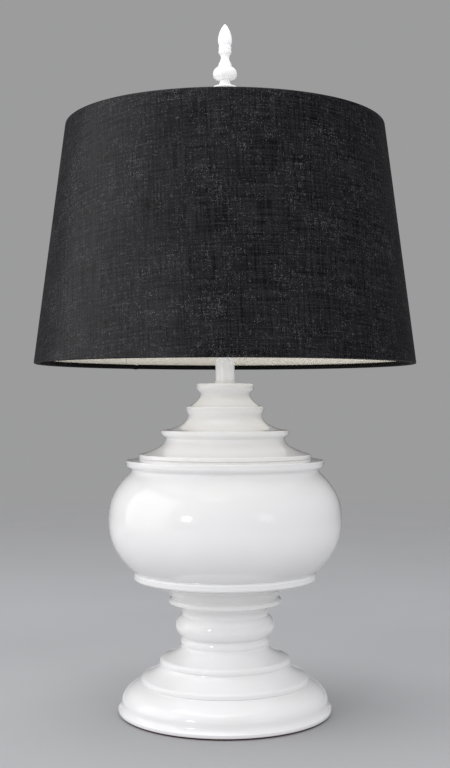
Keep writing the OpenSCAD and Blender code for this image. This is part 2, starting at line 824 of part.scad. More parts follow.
module bulb_contact() {
    color(nickel) translate([0, 0, bulb_z])
        turned([[0, 0], [3, 0.2], [4.2, 0.9], [4.2, 1.5], [0, 1.5]]);
}

module bulb_insulator() {
    color("black") translate([0, 0, bulb_z])
        turned([[0, 1.6], [4.8, 1.6], [bulb_thread_r - 2, 5], [0, 5]]);
}

module bulb_screw_cap() {
    sheet = 0.4;
    top = bulb_cap_z + bulb_cap_h;
    color(nickel) translate([0, 0, bulb_z]) turned([
        [bulb_thread_r - 2, bulb_cap_z], [bulb_thread_r, bulb_cap_z + 2.4],
        [bulb_thread_r, top], [bulb_thread_r - sheet, top],
        [bulb_thread_r - sheet, bulb_cap_z + 2.6], [bulb_thread_r - 2 - sheet, bulb_cap_z + 0.4],
        [bulb_thread_r - 4, bulb_cap_z + 0.4], [bulb_thread_r - 4, bulb_cap_z]
    ]);
}

// Outline of the bulb's glass from its neck to its crown, pulled in by inset
function bulb_side(inset) =
    let (r = bulb_d / 2 - inset, neck_r = bulb_neck_r - inset, middle = bulb_l - bulb_d / 2)
    concat(
        [[neck_r, bulb_cap_z + 9]],
        bend([neck_r, bulb_cap_z + bulb_cap_h], [neck_r, bulb_cap_z + bulb_cap_h + 16],
             [r, middle - 24], [r, middle], 12),
        [for (i = [0:11]) [r * cos(7.5 * i), middle + r * sin(7.5 * i)]],
        [[0, middle + r]]
    );

module bulb_glass() {
    color([0.96, 0.96, 0.94, 0.8]) translate([0, 0, bulb_z])
        turned(concat(bulb_side(0), reversed(bulb_side(bulb_wall))));
}

// ---- Shade ----

// Outer radius of the shade at a height above its lower edge
function shade_r(h) = (shade_bottom_d + (shade_top_d - shade_bottom_d) * h / shade_h) / 2;

// Depths below the outer surface, measured level
linen_in = binding_t + seat_gap;
lining_in = linen_in + linen_t + seat_gap;
lining_face_in = lining_in + lining_t;
ring_in = lining_face_in + ring_wire_d / 2 + running;
binding_in = ring_in + ring_wire_d / 2 + running;
ring_h = binding_t + running + ring_wire_d / 2;
top_ring_h = shade_h - ring_h;
top_ring_r = shade_r(top_ring_h) - ring_in;

// Conical wall between two heights, from one depth below the surface to another
module shade_wall(low, high, depth, thickness) {
    translate([0, 0, shade_z]) turned([
        [shade_r(low) - depth, low], [shade_r(high) - depth, high],
        [shade_r(high) - depth - thickness, high], [shade_r(low) - depth - thickness, low]
    ]);
}

module shade_cover() {
    color(black_linen) shade_wall(linen_in, shade_h - linen_in, linen_in, linen_t);
}

module shade_lining() {
    color([0.90, 0.89, 0.84]) shade_wall(linen_in, shade_h - linen_in, lining_in, lining_t);
}

module shade_wire_ring(h) {
    translate([0, 0, shade_z + h]) rotate_extrude()
        translate([shade_r(h) - ring_in, 0]) circle(d = ring_wire_d, $fn = 32);
}

module shade_top_ring() {
    color("white") shade_wire_ring(top_ring_h);
}

module shade_bottom_ring() {
    color("white") shade_wire_ring(ring_h);
}

// Strip folded round an edge: an outer leg, the turn and an inner leg. edge is
// the height of the fold and inward the direction from it into the shade
module binding(edge, inward) {
    tip = edge + inward * binding_h;
    turn = edge + inward * binding_t;
    translate([0, 0, shade_z]) turned([
        [shade_r(tip), tip], [shade_r(edge), edge],
        [shade_r(edge) - binding_in - binding_t, edge],
        [shade_r(tip) - binding_in - binding_t, tip], [shade_r(tip) - binding_in, tip],
        [shade_r(turn) - binding_in, turn], [shade_r(turn) - binding_t, turn],
        [shade_r(tip) - binding_t, tip]
    ]);
}

module shade_bottom_binding() {
    color(black_linen) binding(0, 1);
}

module shade_top_binding() {
    color(black_linen) difference() {
        binding(shade_h, -1);
        spokes(spoke_d + 0.6);
    }
}

spoke_count = 3;
spoke_start_r = finial_foot_d / 2 + spider_washer_rim - 0.8;
spoke_start_z = seat_z + seat_gap + spider_washer_t / 2;
spoke_end_r = top_ring_r - ring_wire_d / 2 - seat_gap;
spoke_run = spoke_end_r - spoke_start_r;
spoke_rise = shade_z + top_ring_h - spoke_start_z;
module spokes(d) {
    for (i = [0:spoke_count - 1])
        rotate([0, 0, 90 + 360 * i / spoke_count])
            translate([spoke_start_r, 0, spoke_start_z])
                rotate([0, atan2(spoke_run, spoke_rise), 0])
                    cylinder(h = norm([spoke_run, spoke_rise]), d = d, $fn = 32);
}

module shade_spider() {
    color("white") {
        ring(seat_z + seat_gap, spider_washer_t, finial_foot_d / 2 + spider_washer_rim, spider_bore_d / 2);
        spokes(spoke_d);
    }
}

// ---- Finial ----

insert_hole_h = insert_l + 2;

module finial_insert() {
    thread_r = stud_d / 2 + running;
    wall = insert_d / 2 - thread_r;
    color(brass) translate([0, 0, finial_z]) turned([
        [thread_r, 0], [insert_d / 2, 0], [insert_d / 2, insert_l],
        [0, insert_l], [0, insert_l - wall], [thread_r, insert_l - wall]
    ]);
}

module finial() {
    foot_r = finial_foot_d / 2;
    disc_r = finial_disc_d / 2;
    knob_r = finial_knob_d / 2;
    neck_r = finial_neck_d / 2;
    bead_r = finial_bead_d / 2;
    bead_root = bead_r - 0.8;
    spire_r = finial_spire_d / 2;
    disc_z = finial_pedestal_h;
    sweep_z = disc_z + 2.6;
    knob_z = sweep_z + finial_sweep_h;
    vase_z = knob_z + finial_knob_h;
    collar_z = vase_z + finial_vase_h;
    bead_1_z = collar_z + 5.2;
    bead_2_z = bead_1_z + finial_bead_h;
    spire_z = bead_2_z + finial_bead_h;
    tip_z = spire_z + finial_spire_h;
    urn_r = foot_r - 1.5;
    urn_z = 0.45 * finial_pedestal_h;
    bore_r = insert_d / 2 + running;
    color(lacquer) translate([0, 0, finial_z]) turned(concat(
        [[bore_r, 0], [foot_r - 0.4, 0], [foot_r, 0.4]],
        top_edge(foot_r, 4.4, 1.4),
        bend([foot_r - 1.4, 4.4], [foot_r - 5, 5], [neck_r + 1.5, 6.4], [neck_r + 1.5, 10]),
        bend([neck_r + 1.5, 10], [neck_r + 1.5, 14], [urn_r, urn_z - 10], [urn_r, urn_z]),
        bend([urn_r, urn_z], [urn_r, urn_z + 12], [neck_r, disc_z - 18], [neck_r, disc_z - 8]),
        bend([neck_r, disc_z - 8], [neck_r, disc_z - 2], [disc_r - 6, disc_z - 1], [disc_r - 1, disc_z]),
        [[disc_r, disc_z + 1]],
        top_edge(disc_r, sweep_z, 1),
        bend([disc_r - 1, sweep_z], [disc_r - 5, sweep_z + 2.2],
             [neck_r + 0.6, sweep_z + 3.8], [neck_r + 0.6, knob_z - 1.2]),
        bend([neck_r + 0.6, knob_z - 0.6], [knob_r - 3.6, knob_z - 0.2],
             [knob_r, knob_z + 2.4], [knob_r, knob_z + 8.2]),
        bend([knob_r, knob_z + 8.2], [knob_r, knob_z + 12.6], [knob_r - 2.3, vase_z - 2.8],
             [bead_r + 0.9, vase_z - 0.2]),
        bend([bead_r + 0.6, vase_z + 0.3], [bead_r + 0.6, vase_z + 4.2],
             [neck_r - 0.5, vase_z + 7], [neck_r - 0.5, collar_z]),
        bend([neck_r - 0.5, collar_z], [neck_r - 0.5, collar_z + 3], [bead_root - 0.5, bead_1_z - 1.6],
             [bead_root, bead_1_z], 6),
        bend([bead_root, bead_1_z], [bead_r + 0.27, bead_1_z + 0.8],
             [bead_r + 0.27, bead_2_z - 0.9], [bead_root, bead_2_z], 8),
        bend([bead_root, bead_2_z], [bead_r + 0.1, bead_2_z + 0.8],
             [bead_r + 0.1, spire_z - 0.9], [bead_root - 0.3, spire_z], 8),
        bend([bead_root - 0.3, spire_z], [bead_root + 0.5, spire_z + 2.4],
             [spire_r, spire_z + 4.4], [spire_r, spire_z + 7.8], 8),
        bend([spire_r, spire_z + 7.8], [spire_r, spire_z + 15.8],
             [5.8, tip_z - 5], [0.8, tip_z - 0.4], 14),
        [[0.8, tip_z - 0.4], [0, tip_z],
         [0, insert_hole_h], [bore_r, insert_hole_h]]
    ));
}

felt_pad();
foot();
cord_bushing();
stem();
belly();
stepped_cap();
neck_collar();
neck_tube();
neck_cover();
threaded_rod();
rod_washer();
rod_lock_washer();
rod_nuts();
harp_saddle();
harp_ferrules();
harp();
harp_stud();
harp_sleeve_left();
harp_sleeve_right();
socket_cap();
socket_shell();
socket_liner();
socket_insulator();
screw_shell();
centre_contact();
terminal_screws();
switch_knob();
bulb_contact();
bulb_insulator();
bulb_screw_cap();
bulb_glass();
shade_cover();
shade_lining();
shade_top_ring();
shade_bottom_ring();
shade_spider();
shade_top_binding();
shade_bottom_binding();
finial_insert();
finial();
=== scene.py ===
"""Dresses a turned table lamp: lacquered wood, linen drum shade, harp, lampholder and bulb."""

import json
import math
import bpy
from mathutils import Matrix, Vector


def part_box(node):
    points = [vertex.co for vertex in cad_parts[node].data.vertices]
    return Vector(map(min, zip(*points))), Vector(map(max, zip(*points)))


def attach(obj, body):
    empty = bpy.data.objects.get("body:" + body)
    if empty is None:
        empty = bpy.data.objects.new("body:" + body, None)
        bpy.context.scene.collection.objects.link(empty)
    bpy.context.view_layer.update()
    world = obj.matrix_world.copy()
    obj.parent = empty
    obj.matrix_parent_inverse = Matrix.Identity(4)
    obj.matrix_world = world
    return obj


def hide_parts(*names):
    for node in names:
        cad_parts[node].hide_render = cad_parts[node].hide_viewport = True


bl_info = {
    "name": "Turned Table Lamp",
    "version": (1, 0, 0),
    "blender": (4, 5, 0),
    "location": "View3D > Sidebar > Lamp",
    "description": "Turns and dresses the pieces of a lacquered table lamp",
    "category": "Object",
}

from functools import lru_cache
from types import SimpleNamespace

import bpy
from bpy.props import FloatProperty, FloatVectorProperty, IntProperty, PointerProperty
from bpy.types import Operator, Panel, PropertyGroup
from mathutils import Vector

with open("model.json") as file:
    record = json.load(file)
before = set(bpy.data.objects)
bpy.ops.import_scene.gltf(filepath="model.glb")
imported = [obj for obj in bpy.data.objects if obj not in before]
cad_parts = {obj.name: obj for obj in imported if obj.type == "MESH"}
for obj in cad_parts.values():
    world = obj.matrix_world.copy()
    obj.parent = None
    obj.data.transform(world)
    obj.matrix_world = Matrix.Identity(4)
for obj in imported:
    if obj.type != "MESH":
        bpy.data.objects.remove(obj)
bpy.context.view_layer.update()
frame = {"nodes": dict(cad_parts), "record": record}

BODY_OF = {
    name: body
    for body, names in frame["record"]["behaviour"]["bodies"].items()
    for name in names
}


@lru_cache(maxsize=None)
def node_mm(name):
    """Lowest and highest corner of a packed piece, in millimetres."""
    low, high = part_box(name)
    return Vector(low) * 1000, Vector(high) * 1000


def middle_z(name):
    """Height of a packed piece's middle, in millimetres."""
    low, high = node_mm(name)
    return (low.z + high.z) / 2


# ---- Sizes and colours ----


def length(name, about, value):
    """A length given in millimetres, kept in metres."""
    return FloatProperty(
        name=name, description=about, default=value / 1000, min=0, precision=5,
        subtype="DISTANCE", unit="LENGTH",
    )


def linear(hex_colour):
    """Linear red, green and blue of an sRGB hex colour."""
    parts = [int(hex_colour[i : i + 2], 16) / 255 for i in (1, 3, 5)]
    return tuple(c / 12.92 if c <= 0.04045 else ((c + 0.055) / 1.055) ** 2.4 for c in parts)


def colour(name, about, hex_colour):
    """A colour given as an sRGB hex value, kept as linear light."""
    return FloatVectorProperty(
        name=name, description=about, default=linear(hex_colour), size=3, min=0, max=1,
        subtype="COLOR",
    )


class FootSizes(PropertyGroup):
    """Foot of the lamp"""

    lip_height: length("Lip height", "Height of the lip over the felt", 4.4)
    dome: length("Dome diameter", "Foot's dome where it meets the lip", 274.4)
    low_rim: length("Lower rim diameter", "Rim of the lower step", 223.4)
    high_rim: length("Upper rim diameter", "Rim of the upper step", 173.6)
    top: length("Top diameter", "Foot where the stem stands on it", 116)
    low_rim_height: length("Lower rim height", "Lower step's rim over the felt", 39.2)
    high_rim_height: length("Upper rim height", "Upper step's rim over the felt", 63.6)
    recess: length("Recess diameter", "Recess under the foot", 120)
    recess_depth: length("Recess depth", "Recess under the foot", 22)


class StemSizes(PropertyGroup):
    """Stem between the foot and the belly"""

    bead: length("Bead diameter", "Bead at the foot of the stem", 117.8)
    bead_height: length("Bead height", "Bead at the foot of the stem", 9.2)
    waist: length("Waist diameter", "Stem above and below its ball", 114.4)
    ball: length("Ball diameter", "Ball in the stem", 131.8)
    ball_height: length("Ball height", "Middle of the ball over the foot", 25.3)
    waist_height: length("Waist height", "Waist above the ball", 41.6)
    ring: length("Ring diameter", "Ring above the ball", 150.6)
    ring_height: length("Ring height", "Ring's lower edge over the foot", 55.4)
    throat: length("Throat diameter", "Throat above the ring", 142)
    flange_edge: length("Flange edge", "Height of the edge of the flange", 7)


class BellySizes(PropertyGroup):
    """Belly of the lamp"""

    bead: length("Bead diameter", "Bead at the foot of the belly", 242.4)
    bead_height: length("Bead height", "Bead at the foot of the belly", 2.2)
    middle_height: length("Middle height", "Largest diameter over the stem", 74.3)
    groove: length("Groove diameter", "Groove under the shoulder flange", 251.4)
    shoulder: length("Shoulder diameter", "Shoulder flange", 265.8)
    shoulder_drop: length("Shoulder drop", "From the belly's top to the groove", 15.6)
    wall: length("Wall", "Wall of the hollow belly", 18)
    mouth: length("Mouth diameter", "Mouth that the cap closes", 190)


class CapSizes(PropertyGroup):
    """Stepped cap"""

    step_2: length("Middle step diameter", "Middle step", 173.4)
    step_3: length("Upper step diameter", "Upper step", 105.6)
    disc: length("Disc diameter", "Top disc", 77.6)
    waist_1: length("First waist diameter", "Waist above the lowest step", 159.6)
    waist_2: length("Second waist diameter", "Waist above the middle step", 99.6)
    waist_3: length("Third waist diameter", "Waist above the upper step", 66.8)
    waist_1_height: length("First waist height", "Over the belly", 26.5)
    waist_2_height: length("Second waist height", "Over the belly", 58.4)
    waist_3_height: length("Third waist height", "Over the belly", 86.2)
    step_edge: length("Step edge", "Height of the lowest step's edge", 5.8)
    step_rise: length("Step rise", "From a waist up to the next step's widest point", 8.6)


class FinialSizes(PropertyGroup):
    """Finial"""

    foot: length("Foot diameter", "Foot of the finial", 28)
    pedestal: length("Pedestal height", "Pedestal under the disc", 66)
    sweep: length("Sweep height", "Hollow sweep above the disc", 9.7)
    knob: length("Knob diameter", "Round knob", 33)
    knob_height: length("Knob height", "Round knob", 18.5)
    neck: length("Neck diameter", "Slim necks below the knob and above the vase", 12.6)
    vase_height: length("Vase height", "Vase above the knob", 12.4)
    bead: length("Bead diameter", "Both beads", 17.8)
    bead_height: length("Bead height", "One bead", 4.9)
    spire: length("Spire diameter", "Spire at its widest", 19.4)
    bore: length("Bore diameter", "Bore for the threaded insert", 9.2)


class ShadeSizes(PropertyGroup):
    """Drum shade"""

    linen: length("Linen thickness", "Linen cover with its backing", 0.8)
    lining: length("Lining thickness", "Sheet behind the linen", 1)
    binding_width: length("Binding width", "Each leg of the folded binding", 6.6)
    overlap: length("Seam overlap", "Overlap of the sheet at its seam", 12)
    spoke: length("Spoke wire", "Wire of the three spokes", 3.5)
    seam_angle: FloatProperty(
        name="Seam angle", description="Seam's place, turned left from the back",
        default=math.radians(36.8), subtype="ANGLE", unit="ROTATION",
    )


class HardwareSizes(PropertyGroup):
    """Harp, lampholder, bulb and fixings"""

    wire: length("Harp wire", "Wire of the harp", 3.8)
    softening: length("Edge rounding", "Small rounding of pressed and cut edges", 0.25)
    bulb_pitch: length("Bulb pitch", "Pitch of the bulb's rolled thread", 3.63)
    bulb_depth: length("Bulb thread depth", "Depth of the bulb's rolled thread", 0.75)
    stud_pitch: length("Stud pitch", "Pitch of the finial screw", 0.94)
    stud_depth: length("Stud thread depth", "Depth of the finial screw's thread", 0.5)
    flutes: IntProperty(name="Knob flutes", description="Flutes round the knob", default=24)


class LampColours(PropertyGroup):
    """Colours of the lamp and its stage"""

    lacquer: colour("Lacquer", "Gloss white lacquer", "#F3F3F4")
    thread: colour("Linen", "Black linen thread", "#040305")
    slub: colour("Gaps", "Pale backing seen in the gaps of the linen", "#878480")
    sheet: colour("Lining", "Off-white lining sheet", "#ECE9DF")
    brass: colour("Brass", "Polished brass", "#D9B566")
    nickel: colour("Nickel", "Satin nickel plate", "#C9C5BC")
    felt: colour("Felt", "Wool felt", "#4A2620")
    floor: colour("Floor", "Pale floor", "#9C9C9D")


GROUPS = {
    "lamp_foot": FootSizes,
    "lamp_stem": StemSizes,
    "lamp_belly": BellySizes,
    "lamp_cap": CapSizes,
    "lamp_finial": FinialSizes,
    "lamp_shade": ShadeSizes,
    "lamp_hardware": HardwareSizes,
    "lamp_colours": LampColours,
}


def millimetres(group):
    """The group's lengths as plain numbers in millimetres."""
    return SimpleNamespace(
        **{key: getattr(group, key) * 1000 for key in group.__annotations__
           if isinstance(getattr(group, key), float)}
    )


# ---- Drawing and shaping ----


def bend(a, b, c, d, steps=28):
    """Points of a curve from a to d that leaves towards b and arrives from c, without d."""
    points = []
    for i in range(steps):
        t = i / steps
        s = 1 - t
        w = (s**3, 3 * s * s * t, 3 * s * t * t, t**3)
        points.append(tuple(sum(k * p[n] for k, p in zip(w, (a, b, c, d))) for n in (0, 1)))
    return points


def top_edge(r, z, size, steps=8):
    """Rounded outer top edge of a rim, with its corner at radius r and height z."""
    turns = [math.pi / 2 * i / steps for i in range(steps + 1)]
    return [(r - size + size * math.cos(a), z - size + size * math.sin(a)) for a in turns]


def cove(edge, waist, slope, reach, lift):
    """Hollow sweep from the edge of a step, at a slope, up to an upright waist."""
    a = math.radians(slope)
    start = (edge[0] - reach * math.cos(a), edge[1] + reach * math.sin(a))
    return bend(edge, start, (waist[0], waist[1] - lift), waist)


def swell(waist, rim, pull):
    """Swelling from an upright waist out to an upright rim above it, fullest under the rim."""
    return bend(waist, (waist[0], waist[1] + 0.6 * pull), (rim[0], rim[1] - 1.4 * pull), rim)


def nothing_selected():
    """Leaves edit mode and clears the selection."""
    if bpy.context.object and bpy.context.object.mode != "OBJECT":
        bpy.ops.object.mode_set(mode="OBJECT")
    bpy.ops.object.select_all(action="DESELECT")


def only(obj):
    """Selects one piece and makes it active."""
    nothing_selected()
    obj.select_set(True)
    bpy.context.view_layer.objects.active = obj
    return obj


def edit(obj, select="SELECT"):
    """Opens a piece in edit mode with all of its points selected, or none."""
    only(obj)
    bpy.ops.object.mode_set(mode="EDIT")
    bpy.ops.mesh.select_mode(type="VERT")
    bpy.ops.mesh.select_all(action=select)


def stop_edit():
    """Goes back to object mode."""
    bpy.ops.object.mode_set(mode="OBJECT")


def smooth(obj, angle=32):
    """Shades a piece smooth, with edges kept sharp past an angle in degrees."""
    only(obj)
    bpy.ops.object.shade_smooth_by_angle(angle=math.radians(angle))
    return obj


def modify(obj, kind, **settings):
    """Adds one modifier with its settings and applies it."""
    only(obj)
    modifier = obj.modifiers.new(kind.title(), kind)
    for key, value in settings.items():
        setattr(modifier, key, value)
    bpy.ops.object.modifier_apply(modifier=modifier.name)
    return obj


def join(pieces, name):
    """Makes one mesh of several and names it."""
    nothing_selected()
    for piece in pieces:
        piece.select_set(True)
    bpy.context.view_layer.objects.active = pieces[0]
    bpy.ops.object.join()
    pieces[0].name = pieces[0].data.name = name
    return pieces[0]


def drawn(name, outline):
    """An outline in the XZ plane, in millimetres, drawn one point after another."""
    nothing_selected()
    bpy.ops.mesh.primitive_plane_add(size=0.01)
    obj = bpy.context.object
    obj.name = obj.data.name = name
    edit(obj)
    bpy.ops.mesh.merge(type="CENTER")
    place = Vector((0, 0, 0))
    for index, (x, z) in enumerate(outline):
        target = Vector((x, 0, z)) / 1000
        if index == 0:
            bpy.ops.transform.translate(value=target)
        else:
            bpy.ops.mesh.extrude_vertices_move(
                TRANSFORM_OT_translate={"value": target - place}
            )
        place = target
    return obj


def turned(name, outline, steps, aside=0):
    """A closed outline, spun on the lathe round an upright axis that stands aside by a distance
    along X, all in millimetres."""
    obj = drawn(name, [*outline, outline[0]])
    bpy.ops.mesh.select_all(action="SELECT")
    bpy.ops.mesh.spin(steps=steps, angle=math.tau, center=(aside / 1000, 0, 0),
                      axis=(0, 0, 1))
    bpy.ops.mesh.select_all(action="SELECT")
    bpy.ops.mesh.remove_doubles(threshold=2e-6)
    bpy.ops.mesh.dissolve_degenerate(threshold=1e-7)
    bpy.ops.mesh.select_all(action="SELECT")
    bpy.ops.mesh.normals_make_consistent(inside=False)
    stop_edit()
    return smooth(obj)


def softened(name, node, width):
    """A copy of a packed piece with its sharp edges rounded."""
    nothing_selected()
    source = frame["nodes"][node]
    obj = source.copy()
    obj.data = source.data.copy()
    bpy.context.collection.objects.link(obj)
    for key in list(obj.keys()):
        if key.startswith("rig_"):
            del obj[key]
    obj.name = obj.data.name = name
    obj.data.materials.clear()
    edit(obj)
    bpy.ops.mesh.remove_doubles(threshold=1e-6)
    bpy.ops.mesh.tris_convert_to_quads(face_threshold=0.01, shape_threshold=0.01)
    bpy.ops.mesh.dissolve_limited(angle_limit=math.radians(0.5))
    stop_edit()
    modify(obj, "BEVEL", width=width / 1000, segments=2, limit_method="ANGLE",
           angle_limit=math.radians(40), use_clamp_overlap=True)
    return smooth(obj)


def threaded(name, ridge, pitch, base, low, high, steps):
    """A thread: one pitch of its ridge is wound up from below a base, and then cut flat at two
    heights, all in millimetres."""
    obj = drawn(name, [(x, z + base - pitch) for x, z in ridge])
    stop_edit()
    modify(obj, "SCREW", axis="Z", screw_offset=pitch / 1000,
           iterations=int((high - base) / pitch) + 3, steps=steps, render_steps=steps,
           use_merge_vertices=True, merge_threshold=2e-6, use_normal_calculate=True)
    smooth(obj, 50)
    for height, lower in ((low, True), (high, False)):
        edit(obj)
        bpy.ops.mesh.bisect(
            plane_co=(0, 0, height / 1000), plane_no=(0, 0, 1), use_fill=True,
            clear_inner=lower, clear_outer=not lower,
        )
        stop_edit()
    return obj


def cut_away(obj, cutter):
    """Takes a cutter out of a piece and deletes the cutter."""
    modify(obj, "BOOLEAN", object=cutter, operation="DIFFERENCE", solver="EXACT")
    bpy.data.objects.remove(cutter)


def drilled(obj, radius, place, depth, along="Y", vertices=48):
    """Drills a round hole along an axis; place is the drill's middle, all in millimetres."""
    nothing_selected()
    turn = (math.pi / 2, 0, 0) if along == "Y" else (0, math.pi / 2, 0)
    bpy.ops.mesh.primitive_cylinder_add(
        vertices=vertices, radius=radius / 1000, depth=depth / 1000,
        location=[value / 1000 for value in place], rotation=turn,
    )
    cut_away(obj, bpy.context.object)


def laid_over(obj, axis, angle, height):
    """Turns a piece about an axis through the origin, then lifts it, in millimetres. With no
    window the turn goes the other way round than the right hand rule says."""
    edit(obj)
    bpy.ops.transform.rotate(value=angle, orient_axis=axis, center_override=(0, 0, 0))
    bpy.ops.transform.translate(value=(0, 0, height / 1000))
    stop_edit()
    return obj


def fitted(obj, material, node):
    """Gives a piece its finish and its body, and hides the packed piece that it stands for."""
    obj.data.materials.clear()
    obj.data.materials.append(material)
    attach(obj, BODY_OF[node])
    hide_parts(node)
    return obj


# ---- Materials ----


def feed(node, sockets):
    """Fills sockets of a node, each given by its name or by its number among those in use, with
    a value, another node or one of a node's outputs."""
    for key, value in sockets.items():
        used = [socket for socket in node.inputs if socket.enabled]
        socket = used[key] if isinstance(key, int) else next(s for s in used if s.name == key)
        if isinstance(value, bpy.types.Node):
            value = next(output for output in value.outputs if output.enabled)
        if isinstance(value, bpy.types.NodeSocket):
            node.id_data.links.new(value, socket)
        else:
            socket.default_value = (*value[:3], 1) if socket.type == "RGBA" else value


def add_node(material, kind, sockets=None, stops=(), **settings):
    """Adds one node with its settings and links. stops are the places and greys of a ramp."""
    made = material.node_tree.nodes.new("ShaderNode" + kind)
    for key, value in settings.items():
        setattr(made, key, value)
    for index, (place, grey) in enumerate(stops):
        made.color_ramp.elements[index].position = place
        made.color_ramp.elements[index].color = (grey, grey, grey, 1)
    feed(made, sockets or {})
    return made


def new_material(name, sockets):
    """A material and its shader, with the shader's constant sockets set."""
    material = bpy.data.materials.new(name)
    material.use_nodes = True
    shader = material.node_tree.nodes["Principled BSDF"]
    feed(shader, sockets)
    return material, shader


def spots(size):
    """Scale of a noise whose spots are about size millimetres across."""
    return 1000 / size


def marked(material, shader, marks, gloss, relief):
    """Lets the marks of making run the roughness, from stop to stop, and stand up by a relief
    in millimetres."""
    feed(shader, {
        "Roughness": add_node(material, "ValToRGB", {"Fac": marks}, gloss),
        "Normal": add_node(material, "Bump", {"Height": marks, "Distance": relief / 1000}),
    })


def lacquer(context):
    """Sprayed gloss lacquer on turned wood: a deep, clean white with a faint orange peel,
    a gloss that is a little uneven, and painted shade, a faint grey, in the grooves and hollows."""
    white = context.scene.lamp_colours.lacquer
    material, shader = new_material("sprayed white lacquer", {
        "Base Color": white, "IOR": 1.5, "Coat Weight": 0.5, "Coat Roughness": 0.04,
    })
    place = add_node(material, "TexCoord").outputs["Object"]
    cloud = add_node(material, "TexNoise", {"Vector": place, "Scale": spots(70), "Detail": 3})
    share = add_node(material, "ValToRGB", {"Fac": cloud}, ((0.35, 0), (0.7, 0.5)))
    tone = add_node(material, "Mix", {"Factor": share, "A": white, "B": linear("#EDECEA")},
                    data_type="RGBA")
    # painted shade: the hollows marked on the piece are greyed towards #C6C3BE
    hollow_shade = add_node(material, "VertexColor", layer_name="hollow")
    hollow = add_node(material, "ValToRGB", {"Fac": hollow_shade}, ((0.2, 0.35), (0.42, 0)))
    shaded_white = add_node(material, "Mix", {"Factor": hollow, "A": tone, "B": linear("#C6C3BE")},
                     data_type="RGBA")
    haze = add_node(material, "TexNoise", {"Vector": place, "Scale": spots(35), "Detail": 4})
    peel = add_node(material, "TexNoise", {"Vector": place, "Scale": spots(2.2), "Detail": 1})
    sag = add_node(material, "TexNoise", {"Vector": place, "Scale": spots(28), "Detail": 1})
    fine = add_node(material, "Bump", {"Height": peel, "Distance": 0.012 / 1000})
    feed(shader, {
        "Base Color": shaded_white,
        "Roughness": add_node(material, "ValToRGB", {"Fac": haze}, ((0.3, 0.08), (0.75, 0.14))),
        "Normal": add_node(material, "Bump", {"Height": sag, "Distance": 0.12 / 1000,
                                              "Normal": fine}),
    })
    return material


def coated(name, hex_colour, haze_size, haze_detail, gloss, peel_size, relief):
    """A hard white coat on steel: its gloss is uneven and its surface has a fine peel."""
    material, shader = new_material(name, {"Base Color": linear(hex_colour), "IOR": 1.5})
    place = add_node(material, "TexCoord").outputs["Object"]
    haze = add_node(material, "TexNoise", {"Vector": place, "Scale": spots(haze_size),
                                           "Detail": haze_detail})
    peel = add_node(material, "TexNoise", {"Vector": place, "Scale": spots(peel_size),
                                           "Detail": 1})
    feed(shader, {
        "Roughness": add_node(material, "ValToRGB", {"Fac": haze}, gloss),
        "Normal": add_node(material, "Bump", {"Height": peel, "Distance": relief / 1000}),
    })
    return material


def enamel(context):
    """White enamel on steel tube: smooth, hard and slightly cooler than the lacquer."""
    return coated("white enamelled steel", "#F0F0F0", 12, 3, ((0.3, 0.03), (0.7, 0.06)), 1.4,
                  0.006)


def powder_coat(context):
    """White powder coat on wire: satin, with the fine texture of baked powder, about half a
    millimetre across."""
    return coated("white powder coated wire", "#E6E5E1", 3, 2, ((0.3, 0.38), (0.7, 0.5)), 0.6,
                  0.02)


def yarns(material, place, other, spacing, shift):
    """One set of parallel yarns. Gives the number of the gap beside the yarn, how near its
    middle is, how thin the yarn is at that spot, and how pale the yarn is. The shift keeps the
    chances of one set apart from the other's."""
    turns = add_node(material, "Math", {0: place, 1: spacing}, operation="DIVIDE")
    gap = add_node(material, "Math", {0: turns}, operation="FLOOR")
    number = add_node(material, "Math", {0: turns}, operation="ROUND")
    swing = add_node(material, "Math", {0: place, 1: spacing / 2}, operation="PINGPONG")
    middle = add_node(material, "Math", {0: swing, 1: spacing / 2}, operation="DIVIDE")
    found = []
    for count, stretch, reach in ((gap, 13, 0.7), (number, 60, 0.55)):
        across = add_node(material, "Math", {0: count, 1: reach, 2: shift},
                          operation="MULTIPLY_ADD")
        along = add_node(material, "Math", {0: other, 1: stretch}, operation="DIVIDE")
        found.append(add_node(material, "TexNoise", {
            "Vector": add_node(material, "CombineXYZ", {"X": across, "Y": along}),
            "Scale": 1, "Roughness": 0.6,
        }))
    return gap, middle, *found


